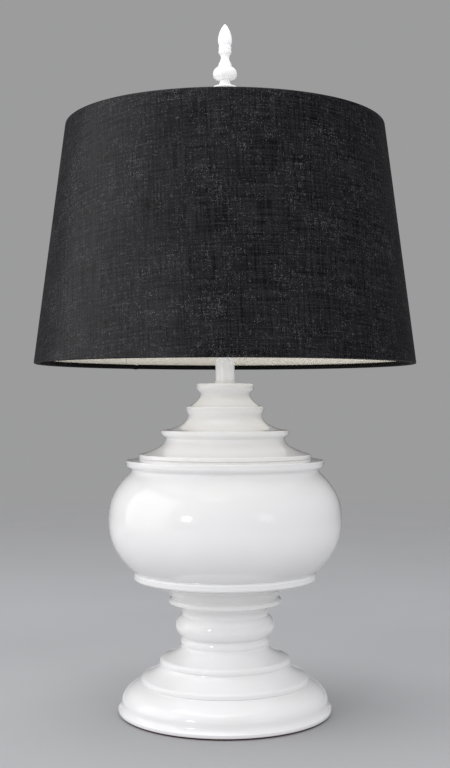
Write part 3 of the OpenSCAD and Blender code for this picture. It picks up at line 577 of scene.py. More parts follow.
def linen(context):
    """Plain-woven linen dyed black: matt yarns, some darker and some paler, over a pale backing
    that shows as tiny specks in gaps of the weave where the yarns are thin. The UV map is the
    cloth laid flat, in metres."""
    colours = context.scene.lamp_colours
    material, shader = new_material("slubbed black linen", {
        "Base Color": colours.thread, "Roughness": 0.42, "Specular IOR Level": 0.32,
    })
    cloth = add_node(material, "TexCoord").outputs["UV"]
    spacing = 1.25  # millimetres between threads, coarser than real linen so that it shows
    split = add_node(material, "SeparateXYZ", {"Vector": cloth})
    u, v = (add_node(material, "Math", {0: split.outputs[axis], 1: 1000}, operation="MULTIPLY")
            for axis in "XY")
    warp_gap, warp_middle, warp_thin, warp_tone = yarns(material, u, v, spacing, 3.1)
    weft_gap, weft_middle, weft_thin, weft_tone = yarns(material, v, u, spacing, 57.4)

    # Each gap in the weave is open or shut by chance, more often where the yarns are thin.
    gap = add_node(material, "CombineXYZ", {"X": warp_gap, "Y": weft_gap})
    chance = add_node(material, "TexWhiteNoise", {"Vector": gap})
    loose = add_node(material, "TexNoise", {"Vector": cloth, "Scale": spots(55), "Detail": 3,
                                            "Roughness": 0.6})
    both_thin = add_node(material, "Math", {0: warp_thin, 1: weft_thin}, operation="ADD")
    thin = add_node(material, "Math", {0: loose, 1: 0.7, 2: both_thin},
                    operation="MULTIPLY_ADD")
    by_yarn = add_node(material, "Math", {0: thin, 1: 1.4}, operation="MULTIPLY")
    by_chance = add_node(material, "Math", {0: chance, 1: 0.8}, operation="MULTIPLY")
    open_by = add_node(material, "Math", {0: by_yarn, 1: by_chance}, operation="ADD")
    share = add_node(material, "Math", {0: open_by, 1: 4.2}, operation="DIVIDE")
    wide = add_node(material, "ValToRGB", {"Fac": share}, ((0.6, 0), (0.9, 1)))
    between = add_node(material, "Math", {0: warp_middle, 1: weft_middle},
                       operation="MULTIPLY")
    middle = add_node(material, "ValToRGB", {"Fac": between}, ((0.06, 0), (0.4, 1)))
    speck = add_node(material, "Math", {0: wide, 1: middle}, operation="MULTIPLY")

    # Yarns differ in tone along their length.
    tones = add_node(material, "Math", {0: warp_tone, 1: weft_tone}, operation="ADD")
    tone = add_node(material, "Math", {0: tones, 1: 2}, operation="DIVIDE")
    pale = add_node(material, "ValToRGB", {"Fac": tone}, ((0.38, 0), (0.62, 1)))
    yarn = add_node(material, "Mix", {"Factor": pale, "A": colours.thread,
                                      "B": linear("#201E22")}, data_type="RGBA")
    waves = []
    for way in (u, v):
        turn = add_node(material, "Math", {0: way, 1: math.pi / spacing}, operation="MULTIPLY")
        waves.append(add_node(material, "Math", {0: turn}, operation="SINE"))
    crossing = add_node(material, "Math", {0: waves[0], 1: waves[1]}, operation="MULTIPLY")
    half = add_node(material, "Math", {0: crossing, 1: 0.5}, operation="MULTIPLY")
    relief = add_node(material, "Math", {0: pale, 1: 0.6, 2: half}, operation="MULTIPLY_ADD")
    feed(shader, {
        "Base Color": add_node(material, "Mix", {"Factor": speck, "A": yarn,
                                                 "B": colours.slub}, data_type="RGBA"),
        "Normal": add_node(material, "Bump", {"Height": relief, "Distance": 0.14 / 1000,
                                              "Strength": 0.8}),
    })
    return material


def painted_shadow(context):
    """Painted shade on the binding's turned-in inner leg: a deeper, even black with no pale
    specks and little gloss, standing in for the shadow inside the shade's rim."""
    material, shader = new_material("black sealed linen edge", {
        "Base Color": linear("#060607"), "Roughness": 0.6, "Specular IOR Level": 0.1,
    })
    place = add_node(material, "TexCoord").outputs["Object"]
    threads = add_node(material, "TexNoise", {"Vector": place, "Scale": spots(1.3)})
    feed(shader, {
        "Normal": add_node(material, "Bump", {"Height": threads, "Distance": 0.08 / 1000}),
    })
    return material


def styrene(context):
    """Off-white styrene sheet behind the linen: satin, with the faint drag of its rolling."""
    sheet = context.scene.lamp_colours.sheet
    material, shader = new_material("off-white styrene lining", {
        "Base Color": sheet, "IOR": 1.55,
    })
    place = add_node(material, "TexCoord").outputs["UV"]
    cloud = add_node(material, "TexNoise", {"Vector": place, "Scale": spots(120), "Detail": 3})
    feed(shader, {
        "Base Color": add_node(material, "Mix", {"Factor": cloud, "A": sheet,
                                                 "B": linear("#E6E1D4")}, data_type="RGBA"),
    })
    rolled = add_node(material, "Mapping", {"Vector": place, "Scale": (0.08, 1, 1)})
    drag = add_node(material, "TexNoise", {"Vector": rolled, "Scale": spots(6)})
    marked(material, shader, drag, ((0.3, 0.42), (0.7, 0.52)), 0.005)
    return material


def fibrous(name, sockets, size, roughness, stretch, tones, relief):
    """Matted fibres about size millimetres thick, in two tones."""
    material, shader = new_material(name, sockets)
    place = add_node(material, "TexCoord").outputs["Object"]
    pressed = add_node(material, "Mapping", {"Vector": place, "Scale": stretch})
    fibres = add_node(material, "TexNoise", {"Vector": pressed, "Scale": spots(size),
                                             "Detail": 5, "Roughness": roughness})
    feed(shader, {
        "Base Color": add_node(material, "Mix", {"Factor": fibres, "A": tones[0],
                                                 "B": tones[1]}, data_type="RGBA"),
        "Normal": add_node(material, "Bump", {"Height": fibres, "Distance": relief / 1000}),
    })
    return material


def felt(context):
    """Short wool felt: matted fibres that lie every way, dull, with a soft edge. Real fibres
    are far finer, so tufts of them are drawn, about a millimetre wide."""
    wool = context.scene.lamp_colours.felt
    return fibrous("short wool felt", {
        "Base Color": wool, "Roughness": 0.95, "Specular IOR Level": 0.2, "Sheen Weight": 0.12,
    }, 1.1, 0.75, (1, 0.35, 1), (wool, linear("#2B1512")), 0.35)


def fibre_board(context):
    """Vulcanised fibre of the lampholder's liner: dull brown board with short fibres."""
    return fibrous("vulcanised fibre", {
        "Base Color": linear("#5A4836"), "Roughness": 0.8,
    }, 2, 0.7, (1, 1, 0.3), (linear("#66523D"), linear("#40322A")), 0.05)


def metal(name, tone, low, high, size, stretch=(1, 1, 1), relief=0.01, dull=None):
    """A metal whose gloss runs from low to high with the marks of how it was made, and which
    may be dulled in clouds."""
    material, shader = new_material(name, {"Base Color": tone, "Metallic": 1})
    place = add_node(material, "TexCoord").outputs["Object"]
    drawn_out = add_node(material, "Mapping", {"Vector": place, "Scale": stretch})
    marks = add_node(material, "TexNoise", {"Vector": drawn_out, "Scale": spots(size),
                                            "Detail": 4, "Roughness": 0.6})
    if dull:
        cloud = add_node(material, "TexNoise", {"Vector": place, "Scale": spots(9),
                                                "Detail": 3})
        share = add_node(material, "ValToRGB", {"Fac": cloud}, ((0.4, 0), (0.75, 0.6)))
        feed(shader, {
            "Base Color": add_node(material, "Mix", {"Factor": share, "A": tone,
                                                     "B": linear(dull)}, data_type="RGBA"),
        })
    marked(material, shader, marks, ((0.25, low), (0.75, high)), relief)
    return material


def polished_brass(context):
    """Spun and polished brass sheet: mirror bright, with a little tarnish and the rings of
    spinning, drawn coarser than they are so that they show."""
    return metal("polished spun brass", context.scene.lamp_colours.brass, 0.12, 0.26, 3,
                 (0.12, 0.12, 3), 0.006, "#A67C3A")


def cut_brass(context):
    """Brass cut on a lathe: satin, with the rings that the tool leaves, drawn coarser than
    they are so that they show."""
    return metal("machined brass", context.scene.lamp_colours.brass, 0.22, 0.38, 1,
                 (0.1, 0.1, 3), 0.015, "#B08A48")


def nickel(context):
    """Satin nickel plate on steel wire and pressed plate: soft grey-warm shine."""
    return metal("satin nickel plate", context.scene.lamp_colours.nickel, 0.2, 0.36, 2,
                 (1, 1, 0.15), 0.008, "#A9A498")


def zinc(context):
    """Zinc plated steel: bluish grey, with a dull, cloudy bloom."""
    return metal("zinc plated steel", linear("#B9BCC0"), 0.28, 0.5, 4, dull="#8E9296")


def aluminium(context):
    """Thin aluminium rolled to a thread: bright on the crests, duller between."""
    return metal("rolled aluminium", linear("#D6D7D8"), 0.2, 0.4, 2, (0.3, 0.3, 2), 0.012,
                 "#AEB0B2")


def solder(context):
    """Lead-free solder tip: dull grey and slightly lumpy."""
    return metal("solder", linear("#8F9090"), 0.35, 0.6, 1.5, relief=0.08)


def moulded(name, hex_colour, low, high, grain, relief):
    """A moulded plastic with an even, fine surface grain."""
    material, shader = new_material(name, {"Base Color": linear(hex_colour), "IOR": 1.5})
    place = add_node(material, "TexCoord").outputs["Object"]
    marks = add_node(material, "TexNoise", {"Vector": place, "Scale": spots(grain)})
    marked(material, shader, marks, ((0.3, low), (0.7, high)), relief)
    return material


def knob_plastic(context):
    """Black moulded ABS of the switch's knob: satin, with a fine moulded grain."""
    return moulded("black moulded ABS", "#161616", 0.28, 0.4, 0.7, 0.02)


def phenolic(context):
    """Black phenolic moulding of the lampholder's body: semi-gloss."""
    return moulded("black phenolic", "#1C1815", 0.22, 0.34, 1.5, 0.01)


def nylon(context):
    """Black nylon of the cord's bushing: dull satin."""
    return moulded("black nylon", "#17171A", 0.42, 0.55, 0.9, 0.02)


def sealing_glass(context):
    """Black sealing glass round the bulb's contact: wet-looking gloss."""
    return moulded("black sealing glass", "#121418", 0.05, 0.12, 3, 0.03)


def coated_glass(context):
    """Bulb glass with a soft white coat inside: milky, with the gloss of clear glass."""
    material, shader = new_material("white coated bulb glass", {
        "Base Color": linear("#F2F0EA"), "IOR": 1.52, "Coat Weight": 0.6,
        "Coat Roughness": 0.03,
    })
    place = add_node(material, "TexCoord").outputs["Object"]
    coat = add_node(material, "TexNoise", {"Vector": place, "Scale": spots(8), "Detail": 4})
    feed(shader, {
        "Base Color": add_node(material, "Mix", {
            "Factor": coat, "A": linear("#F4F3EF"), "B": linear("#EAE7DE"),
        }, data_type="RGBA"),
    })
    marked(material, shader, coat, ((0.3, 0.16), (0.7, 0.24)), 0.01)
    return material


# ---- Stage ----


class LAMP_OT_camera(Operator):
    """Stands the camera in front of the lamp, a little below the shade's rim"""

    bl_idname = "lamp.camera"
    bl_label = "Camera"

    def execute(self, context):
        data = bpy.data.cameras.new("camera")
        data.lens = 54.26
        data.sensor_width = 36
        camera = bpy.data.objects.new("camera", data)
        camera.location = (0, -1.5556, 0.4126)
        camera.rotation_euler = (math.radians(90.889), 0, 0)
        context.collection.objects.link(camera)
        context.scene.camera = camera
        return {"FINISHED"}


def softbox(name, place, target, size, power, spread=180, mirrored=True):
    """A soft rectangular lamp at a place, turned to a target, all in metres, with its spread in
    degrees. The gloss shows it only where it is mirrored."""
    light = bpy.data.lights.new(name, "AREA")
    light.shape = "RECTANGLE"
    light.size, light.size_y = size
    light.energy = power
    light.spread = math.radians(spread)
    lamp = bpy.data.objects.new(name, light)
    lamp.location = place
    lamp.rotation_euler = (Vector(target) - Vector(place)).to_track_quat("-Z", "Y").to_euler()
    lamp.visible_glossy = mirrored
    bpy.context.collection.objects.link(lamp)


class LAMP_OT_stage(Operator):
    """Lays the pale floor and sets the soft studio lamps"""

    bl_idname = "lamp.stage"
    bl_label = "Floor and lamps"
    radius: FloatProperty(name="Floor radius", description="Radius of the round floor",
                          default=7, min=0, subtype="DISTANCE", unit="LENGTH")

    def execute(self, context):
        scene = context.scene
        scene.view_settings.view_transform = "Standard"
        nothing_selected()
        bpy.ops.mesh.primitive_circle_add(vertices=96, radius=self.radius, fill_type="NGON")
        floor = context.object
        floor.name = floor.data.name = "floor"
        edit(floor)
        bpy.ops.mesh.inset(thickness=3)
        stop_edit()
        floor.data.materials.append(self.floor_finish(scene.lamp_colours.floor))

        middle = (0, 0, 0.45)
        window, window_size = (-2.4, -0.3, 0.95), (2.6, 2.7)
        softbox("left window", window, middle, window_size, 21)
        softbox("left fill", window, middle, window_size, 18, mirrored=False)
        softbox("front left lamp", (-1.45, -2.0, 0.66), middle, (0.3, 0.28), 6)
        softbox("right window", (1.9, -1.9, 0.8), middle, (1.4, 1.4), 10, mirrored=False)
        softbox("right pane", (1.7, -2.1, 0.75), middle, (0.7, 0.5), 1.4)
        softbox("low strip", (0, -1.7, 0.1), (0, 0.2, 0.74), (1.6, 0.1), 0.4, 50,
                mirrored=False)
        softbox("overhead", (-0.3, -0.3, 2.6), middle, (2.4, 2.4), 27)

        world = bpy.data.worlds.new("studio")
        world.use_nodes = True
        scene.world = world
        path = add_node(world, "LightPath")
        seen = add_node(world, "Math", {0: path.outputs["Is Camera Ray"],
                                        1: path.outputs["Is Transmission Ray"]},
                        operation="MAXIMUM")
        plain = add_node(world, "Mix", {"Factor": seen, "A": linear("#F9FAFF"),
                                        "B": scene.lamp_colours.floor}, data_type="RGBA")
        light = add_node(world, "Mix", {"Factor": path.outputs["Is Glossy Ray"], "A": plain,
                                        "B": linear("#525254")}, data_type="RGBA")
        feed(world.node_tree.nodes["Background"], {"Color": light})
        return {"FINISHED"}

    def floor_finish(self, pale):
        """Matt painted board that fades into the backdrop away from the lamp, and that nothing
        sees from below."""
        material, shader = new_material("matt painted board", {
            "Base Color": pale, "Roughness": 0.7,
        })
        place = add_node(material, "TexCoord").outputs["Object"]
        cloud = add_node(material, "TexNoise", {"Vector": place, "Scale": spots(300),
                                                "Detail": 3})
        grain = add_node(material, "TexNoise", {"Vector": place, "Scale": spots(1.5),
                                                "Detail": 3})
        feed(shader, {
            "Base Color": add_node(material, "Mix", {"Factor": cloud, "A": pale,
                                                     "B": linear("#A3A3A4")},
                                   data_type="RGBA"),
            "Normal": add_node(material, "Bump", {"Height": grain, "Distance": 0.02 / 1000}),
        })
        away = add_node(material, "VectorMath", {0: place}, operation="LENGTH")
        share = add_node(material, "Math", {0: away, 1: self.radius}, operation="DIVIDE")
        fade = add_node(material, "ValToRGB", {"Fac": share}, ((0.12, 0), (0.5, 1)))
        under = add_node(material, "NewGeometry").outputs["Backfacing"]
        hidden = add_node(material, "Math", {0: fade, 1: under}, operation="MAXIMUM")
        shown = add_node(material, "MixShader", {0: hidden, 1: shader,
                                                 2: add_node(material, "BsdfTransparent")})
        feed(material.node_tree.nodes["Material Output"], {"Surface": shown})
        return material


# ---- Turned body ----

# Radii and depths in millimetres that the turned pieces share.
SPIGOT = 30
SPIGOT_DEPTH = 6
SPIGOT_GAP = 0.3
ROD_HOLE = 5.4


def paint_hollow_shade(obj, share=1.0):
    """Marks the hollows of a turned piece for painted shade. share thins the shade."""
    only(obj)
    layer = obj.data.color_attributes.new("hollow", "FLOAT_COLOR", "POINT")
    obj.data.color_attributes.active_color = layer
    for entry in layer.data:
        entry.color = (1, 1, 1, 1)
    bpy.ops.paint.vertex_color_dirt(blur_strength=1, blur_iterations=1, clean_angle=math.pi,
                                    dirt_angle=0, dirt_only=False, normalize=True)
    for entry in layer.data:
        entry.color = (*(1 - share * (1 - value) for value in entry.color[:3]), 1)
    return obj


class LAMP_OT_felt(Operator):
    """Cuts the felt pad under the foot"""

    bl_idname = "lamp.felt"
    bl_label = "Felt pad"

    def execute(self, context):
        high = node_mm("felt_pad")[1]
        r, h = high.x, high.z
        pad = turned("felt_pad_wool", [(0, 0), (r - 0.4, 0), (r, 0.5), (r - 0.1, h - 0.3),
                                       (r - 0.5, h), (0, h)], 128)
        fitted(pad, felt(context), "felt_pad")
        return {"FINISHED"}


class LAMP_OT_foot(Operator):
    """Turns the stepped foot and drills the cord's outlet"""

    bl_idname = "lamp.foot"
    bl_label = "Foot"
    groove: length("Rim groove", "Depth of the fine groove under each rim", 0.6)
    rim_run: length("Rim run", "How far a rim's rounded shoulder runs in", 3.4)
    rim_rise: length("Rim rise", "Height of a rim with its rounded shoulder", 7.6)

    def step(self, r, z, waist, *sweep):
        """A step of the foot: a fine groove, a rim with a rounded shoulder, and the hollow
        sweep up to a waist, given by its slope, reach and lift."""
        top = (r - self.rim_run * 1000, z + self.rim_rise * 1000)
        return [(r - self.groove * 1000, z), (r, z + 0.8),
                *bend((r, z + 3.6), (r, z + 5.8), (r - 1.5, z + 6.7), top, 12),
                *cove(top, waist, *sweep)]

    def execute(self, context):
        s = millimetres(context.scene.lamp_foot)
        low, high = node_mm("foot")
        r, base, top = high.x, low.z, high.z - low.z
        lip, dome = s.lip_height, s.dome / 2
        low_r, high_r = s.low_rim / 2, s.high_rim / 2
        low_z, high_z = s.low_rim_height, s.high_rim_height
        groove = self.groove * 1000
        outline = [
            *bend((r - 1.6, 0), (r - 0.6, 0.4), (r, 1.2), (r, 2.6), 8),
            *bend((r, lip), (r - 0.9, lip + 1.6), (dome + 0.4, lip + 3.2), (dome, lip + 8.5), 14),
            *bend((dome, lip + 10.6), (dome, lip + 23.1), (low_r + 9.6, low_z - 3.4),
                  (low_r - groove, low_z), 32),
            *self.step(low_r, low_z, (high_r - groove, high_z), 23, 14, 5.1),
            *self.step(high_r, high_z, (s.top / 2, top), 14, 9, 7),
            (s.top / 2, top),
            (SPIGOT + SPIGOT_GAP, top), (SPIGOT + SPIGOT_GAP, top - SPIGOT_DEPTH - SPIGOT_GAP),
            (ROD_HOLE, top - SPIGOT_DEPTH - SPIGOT_GAP), (ROD_HOLE, s.recess_depth),
            (s.recess / 2, s.recess_depth), (s.recess / 2, 0),
        ]
        foot = turned("foot_wood", [(x, z + base) for x, z in outline], 192)
        self.passage(foot)
        fitted(paint_hollow_shade(foot), lacquer(context), "foot")
        return {"FINISHED"}

    def passage(self, foot):
        """Takes the cord's passage and the flat seat of its bushing out of the back."""
        high = node_mm("cord_bushing")[1]
        passage = (high.x - 1.95, 30)
        seat = (high.x + 0.5, high.y - 1.6)
        depth = 200
        for radius, start in (passage, seat):
            drilled(foot, radius, (0, start + depth / 2, middle_z("cord_bushing")), depth)
        smooth(foot)


class LAMP_OT_stem(Operator):
    """Turns the stem that carries the belly"""

    bl_idname = "lamp.stem"
    bl_label = "Stem"

    def execute(self, context):
        s = millimetres(context.scene.lamp_stem)
        low, high = node_mm("stem")
        base = low.z + SPIGOT_DEPTH
        height = high.z - low.z - 2 * SPIGOT_DEPTH
        bead, waist, ring = s.bead / 2, s.waist / 2, s.ring / 2
        throat, flange = s.throat / 2, high.x
        edge, ring_z = height - s.flange_edge, s.ring_height
        curve = 16  # radius of the ball's round
        middle = s.ball / 2 - curve
        reach = math.acos((waist + 0.4 - middle) / curve)
        ball = [(middle + curve * math.cos(a), s.ball_height + curve * math.sin(a))
                for a in (reach * (i / 20 - 1) for i in range(41))]
        outline = [
            *bend((bead - 1, 0), (bead + 0.5, 1.8), (bead + 0.5, s.bead_height - 1.9),
                  (waist + 0.2, s.bead_height), 16),
            (waist + 0.2, s.bead_height),
            *ball,
            *bend((waist, s.waist_height), (waist, s.waist_height + 6.2),
                  (ring - 9.3, ring_z - 3.2), (ring - 1.7, ring_z), 24),
            *bend((ring - 1.7, ring_z), (ring - 0.5, ring_z + 0.4), (ring, ring_z + 1),
                  (ring, ring_z + 2), 8),
            *bend((ring, ring_z + 3.4), (ring, ring_z + 5.4), (throat + 2.6, ring_z + 7),
                  (throat, ring_z + 7.4), 12),
            *bend((throat + 0.8, ring_z + 8.6), (throat + 11, ring_z + 20.4),
                  (flange - 24, edge - 6.5), (flange - 3.4, edge - 0.4), 32),
            *bend((flange - 3.4, edge - 0.4), (flange - 1.4, edge), (flange, edge + 1),
                  (flange, edge + 2.6), 8),
            (flange, edge + 2.6), (flange, height - 0.15), (flange - 0.15, height),
            (SPIGOT, height), (SPIGOT, height + SPIGOT_DEPTH), (ROD_HOLE, height + SPIGOT_DEPTH),
            (ROD_HOLE, -SPIGOT_DEPTH), (SPIGOT, -SPIGOT_DEPTH), (SPIGOT, 0),
        ]
        stem = turned("stem_wood", [(x, z + base) for x, z in outline], 192)
        fitted(paint_hollow_shade(stem), lacquer(context), "stem")
        return {"FINISHED"}


class LAMP_OT_belly(Operator):
    """Turns the hollow belly with its shoulder flange"""

    bl_idname = "lamp.belly"
    bl_label = "Belly"

    def execute(self, context):
        s = millimetres(context.scene.lamp_belly)
        low, high = node_mm("belly")
        base, height, r = low.z, high.z - low.z, high.x
        bead, shoulder, mouth = s.bead / 2, s.shoulder / 2, s.mouth / 2
        middle, wall = s.middle_height, r - s.wall
        floor_r, floor_z = 60, 15
        groove, groove_z = s.groove / 2, height - s.shoulder_drop
        throat = (bead - 1.2, s.bead_height + 0.8)
        upper = (groove + 2.3, groove_z - 3.9)
        outline = [
            (bead - 0.15, 0), (bead, 0.15), (bead, s.bead_height - 0.5),
            (bead - 0.5, s.bead_height),
            *bend(throat, (throat[0] + 19.5, throat[1] + 16.5), (r, middle - 35), (r, middle), 40),
            *bend((r, middle), (r, middle + 26), (upper[0] + 18.7, upper[1] - 18.1), upper, 40),
            *bend(upper, (upper[0] - 1.4, upper[1] + 1.4), (groove, groove_z - 1.5),
                  (groove, groove_z), 8),
            *bend((groove, groove_z), (groove, groove_z + 2.4), (shoulder, groove_z + 3.5),
                  (shoulder, groove_z + 8.3), 16),
            *top_edge(shoulder, height - 2.3, 1.2),
            (node_mm("stepped_cap")[1].x + 1.8, height), (mouth, height),
            *bend((mouth, height - 8), (mouth + 23, height - 22), (wall, middle + 30),
                  (wall, middle), 16),
            *bend((wall, middle), (wall, middle - 32), ((wall + floor_r) / 2, floor_z),
                  (floor_r, floor_z), 16),
            (floor_r, floor_z), (ROD_HOLE, floor_z), (ROD_HOLE, SPIGOT_DEPTH + SPIGOT_GAP),
            (SPIGOT + SPIGOT_GAP, SPIGOT_DEPTH + SPIGOT_GAP), (SPIGOT + SPIGOT_GAP, 0),
        ]
        belly = turned("belly_wood", [(x, z + base) for x, z in outline], 224)
        fitted(paint_hollow_shade(belly), lacquer(context), "belly")
        return {"FINISHED"}


class LAMP_OT_cap(Operator):
    """Turns the stepped cap that closes the belly"""

    bl_idname = "lamp.cap"
    bl_label = "Stepped cap"
    lid: length("Lid depth", "How deep the cap sits in the belly's mouth", 5)

    def step(self, r, z, rounding, waist, *sweep):
        """The rounded rim of a step and the hollow sweep up to the waist above it, given by
        its slope, reach and lift."""
        return [*top_edge(r, z, rounding), *cove((r - rounding, z), waist, *sweep)]

    def execute(self, context):
        s = millimetres(context.scene.lamp_cap)
        low, high = node_mm("stepped_cap")
        lid = self.lid * 1000
        base, height = low.z + lid, high.z - low.z - lid
        r1, r2, r3, disc = high.x, s.step_2 / 2, s.step_3 / 2, s.disc / 2
        first = (s.waist_1 / 2, s.waist_1_height)
        second = (s.waist_2 / 2, s.waist_2_height)
        third = (s.waist_3 / 2, s.waist_3_height)
        rise_2, rise_3, rise_4 = (w[1] + s.step_rise for w in (first, second, third))
        edge, pull = 2.4, 3.3
        plug = context.scene.lamp_belly.mouth * 500 - SPIGOT_GAP
        outline = [
            (r1 - 0.7, 0), (r1, 0.7),
            *self.step(r1, s.step_edge, 1.6, first, 14, 25, 6.3),
            *swell(first, (r2, rise_2), pull),
            *self.step(r2, rise_2 + edge, 1.9, second, 5, 17.3, 11.4),
            *swell(second, (r3, rise_3), pull),
            *self.step(r3, rise_3 + edge, 2.2, third, 9, 7.7, 7.7),
            *swell(third, (disc, rise_4), pull),
            *top_edge(disc, height, 3.6),
            (ROD_HOLE, height), (ROD_HOLE, -lid), (plug, -lid), (plug, 0),
        ]
        cap = turned("stepped_cap_wood", [(x, z + base) for x, z in outline], 192)
        fitted(paint_hollow_shade(cap), lacquer(context), "stepped_cap")
        return {"FINISHED"}


class LAMP_OT_neck(Operator):
    """Turns the neck's collar, tube and cover"""

    bl_idname = "lamp.neck"
    bl_label = "Neck"
    wall: length("Wall", "Wall of the neck tube", 1.2)
    plug: length("Plug height", "Plug of the cover inside the tube", 3)

    def execute(self, context):
        finish = enamel(context)
        low, high = node_mm("neck_collar")
        r, z0, z1 = high.x, low.z, high.z
        groove = node_mm("neck_tube")[1].x - 0.6
        collar = turned("neck_collar_steel", [
            (ROD_HOLE, z0), (r - 0.2, z0), (r, z0 + 0.2), *top_edge(r, z1 - 0.5, 0.6),
            (groove, z1 - 0.5), (groove, z1), (ROD_HOLE, z1),
        ], 96)
        fitted(collar, finish, "neck_collar")
        low, high = node_mm("neck_tube")
        r, z0, z1 = high.x, low.z, high.z
        inner = r - self.wall * 1000
        tube = turned("neck_tube_steel", [
            (inner, z0), (r - 0.15, z0), (r, z0 + 0.15), (r, z1 - 0.15), (r - 0.15, z1),
            (inner, z1),
        ], 96)
        fitted(tube, finish, "neck_tube")
        low, high = node_mm("neck_cover")
        r, z1 = high.x, high.z
        z0 = low.z + self.plug * 1000
        hole = 5.1
        cover = turned("neck_cover_steel", [
            (hole, low.z), (inner - 0.1, low.z), (inner - 0.1, z0), (r - 0.2, z0), (r, z0 + 0.2),
            *top_edge(r, z1, 1), (hole, z1),
        ], 96)
        fitted(cover, finish, "neck_cover")
        return {"FINISHED"}


def finial_outline(context):
    """Outline of the finial from its foot to its tip, in millimetres."""
    s = millimetres(context.scene.lamp_finial)
    low, high = node_mm("finial")
    foot, disc, knob = s.foot / 2, high.x, s.knob / 2
    neck, bead, spire_r = s.neck / 2, s.bead / 2, s.spire / 2
    root = bead - 0.8
    disc_z = s.pedestal
    sweep_z = disc_z + 2.6
    knob_z = sweep_z + s.sweep
    vase_z = knob_z + s.knob_height
    collar_z = vase_z + s.vase_height
    bead_1 = collar_z + 5.2
    bead_2 = bead_1 + s.bead_height
    spire_z = bead_2 + s.bead_height
    tip = high.z - low.z
    urn, urn_z, bore = foot - 1.5, 0.45 * s.pedestal, s.bore / 2
    points = [
        (bore, 0), (foot - 0.4, 0), (foot, 0.4),
        *top_edge(foot, 4.4, 1.4),
        *bend((foot - 1.4, 4.4), (foot - 5, 5), (neck + 1.5, 6.4), (neck + 1.5, 10), 12),
        *bend((neck + 1.5, 10), (neck + 1.5, 14), (urn, urn_z - 10), (urn, urn_z), 20),
        *bend((urn, urn_z), (urn, urn_z + 12), (neck, disc_z - 18), (neck, disc_z - 8), 24),
        *bend((neck, disc_z - 8), (neck, disc_z - 2), (disc - 6, disc_z - 1),
              (disc - 1, disc_z), 16),
        (disc, disc_z + 1),
        *top_edge(disc, sweep_z, 1),
        *bend((disc - 1, sweep_z), (disc - 5, sweep_z + 2.2), (neck + 0.6, sweep_z + 3.8),
              (neck + 0.6, knob_z - 1.2), 24),
        *bend((neck + 0.6, knob_z - 0.6), (knob - 3.6, knob_z - 0.2), (knob, knob_z + 2.4),
              (knob, knob_z + 8.2), 20),
        *bend((knob, knob_z + 8.2), (knob, knob_z + 12.6), (knob - 2.3, vase_z - 2.8),
              (bead + 0.9, vase_z - 0.2), 20),
        *bend((bead + 0.6, vase_z + 0.3), (bead + 0.6, vase_z + 4.2), (neck - 0.5, vase_z + 7),
              (neck - 0.5, collar_z), 20),
        *bend((neck - 0.5, collar_z), (neck - 0.5, collar_z + 3), (root - 0.5, bead_1 - 1.6),
              (root, bead_1), 12),
        *bend((root, bead_1), (bead + 0.27, bead_1 + 0.8), (bead + 0.27, bead_2 - 0.9),
              (root, bead_2), 16),
        *bend((root, bead_2), (bead + 0.1, bead_2 + 0.8), (bead + 0.1, spire_z - 0.9),
              (root - 0.3, spire_z), 16),
        *bend((root - 0.3, spire_z), (root + 0.5, spire_z + 2.4), (spire_r, spire_z + 4.4),
              (spire_r, spire_z + 7.8), 16),
        *bend((spire_r, spire_z + 7.8), (spire_r, spire_z + 15.8), (5.8, tip - 5),
              (0.8, tip - 0.4), 28),
        (0.8, tip - 0.4), (0, tip), (0, 18), (bore, 18),
    ]
    return [(x, z + low.z) for x, z in points]


class LAMP_OT_finial(Operator):
    """Turns the finial and its threaded brass insert"""

    bl_idname = "lamp.finial"
    bl_label = "Finial"
    wall: length("Insert wall", "Wall of the threaded insert", 1.3)

    def execute(self, context):
        wood = turned("finial_wood", finial_outline(context), 128)
        # painted shade in the finial's hollows, thinned to a fifth
        fitted(paint_hollow_shade(wood, 0.2), lacquer(context), "finial")
        low, high = node_mm("finial_insert")
        s = millimetres(context.scene.lamp_hardware)
        r, wall = high.x, self.wall * 1000
        bore = r - wall
        crest = bore - 0.3 * s.stud_depth
        ridge = [(bore, 0), (crest, s.stud_pitch / 2), (bore, s.stud_pitch)]
        thread = threaded("insert_thread", ridge, s.stud_pitch, low.z, low.z + 0.3,
                          high.z - wall, 32)
        edit(thread)
        bpy.ops.mesh.flip_normals()
        stop_edit()
        sleeve = turned("insert_brass", [
            (bore + 0.02, low.z), (r - 0.3, low.z), (r, low.z + 0.3), (r, high.z - 0.3),
            (r - 0.3, high.z), (0, high.z), (0, high.z - wall), (bore + 0.02, high.z - wall),
        ], 64)
        insert = join([sleeve, thread], "finial_insert_brass")
        fitted(insert, cut_brass(context), "finial_insert")
        return {"FINISHED"}


# ---- Foot fittings ----


class LAMP_OT_bushing(Operator):
    """Moulds the bushing that lines the cord's outlet"""

    bl_idname = "lamp.bushing"
    bl_label = "Cord bushing"
    bore: length("Bore", "Bore for the cord", 6.5)
    barrel: length("Barrel", "Outside of the bushing's barrel", 9)

    def execute(self, context):
        low, high = node_mm("cord_bushing")
        flange, face, back = high.x, high.y, low.y
        bore, barrel = self.bore * 500, self.barrel * 500
        seat, lip = face - 1.5, 1.2
        across = [
            (bore, back), (barrel - 0.4, back), (barrel, back + 0.6), (barrel, seat),
            (flange - 0.2, seat), (flange, seat + 0.3),
            *top_edge(flange, face, 0.9, 6),
            *[(bore + lip - lip * math.sin(a), face - lip + lip * math.cos(a))
              for a in (math.pi / 12 * i for i in range(7))],
        ]
        bush = turned("cord_bushing_nylon", across, 64)
        laid_over(bush, "X", math.pi / 2, middle_z("cord_bushing"))
        fitted(bush, nylon(context), "cord_bushing")
        return {"FINISHED"}


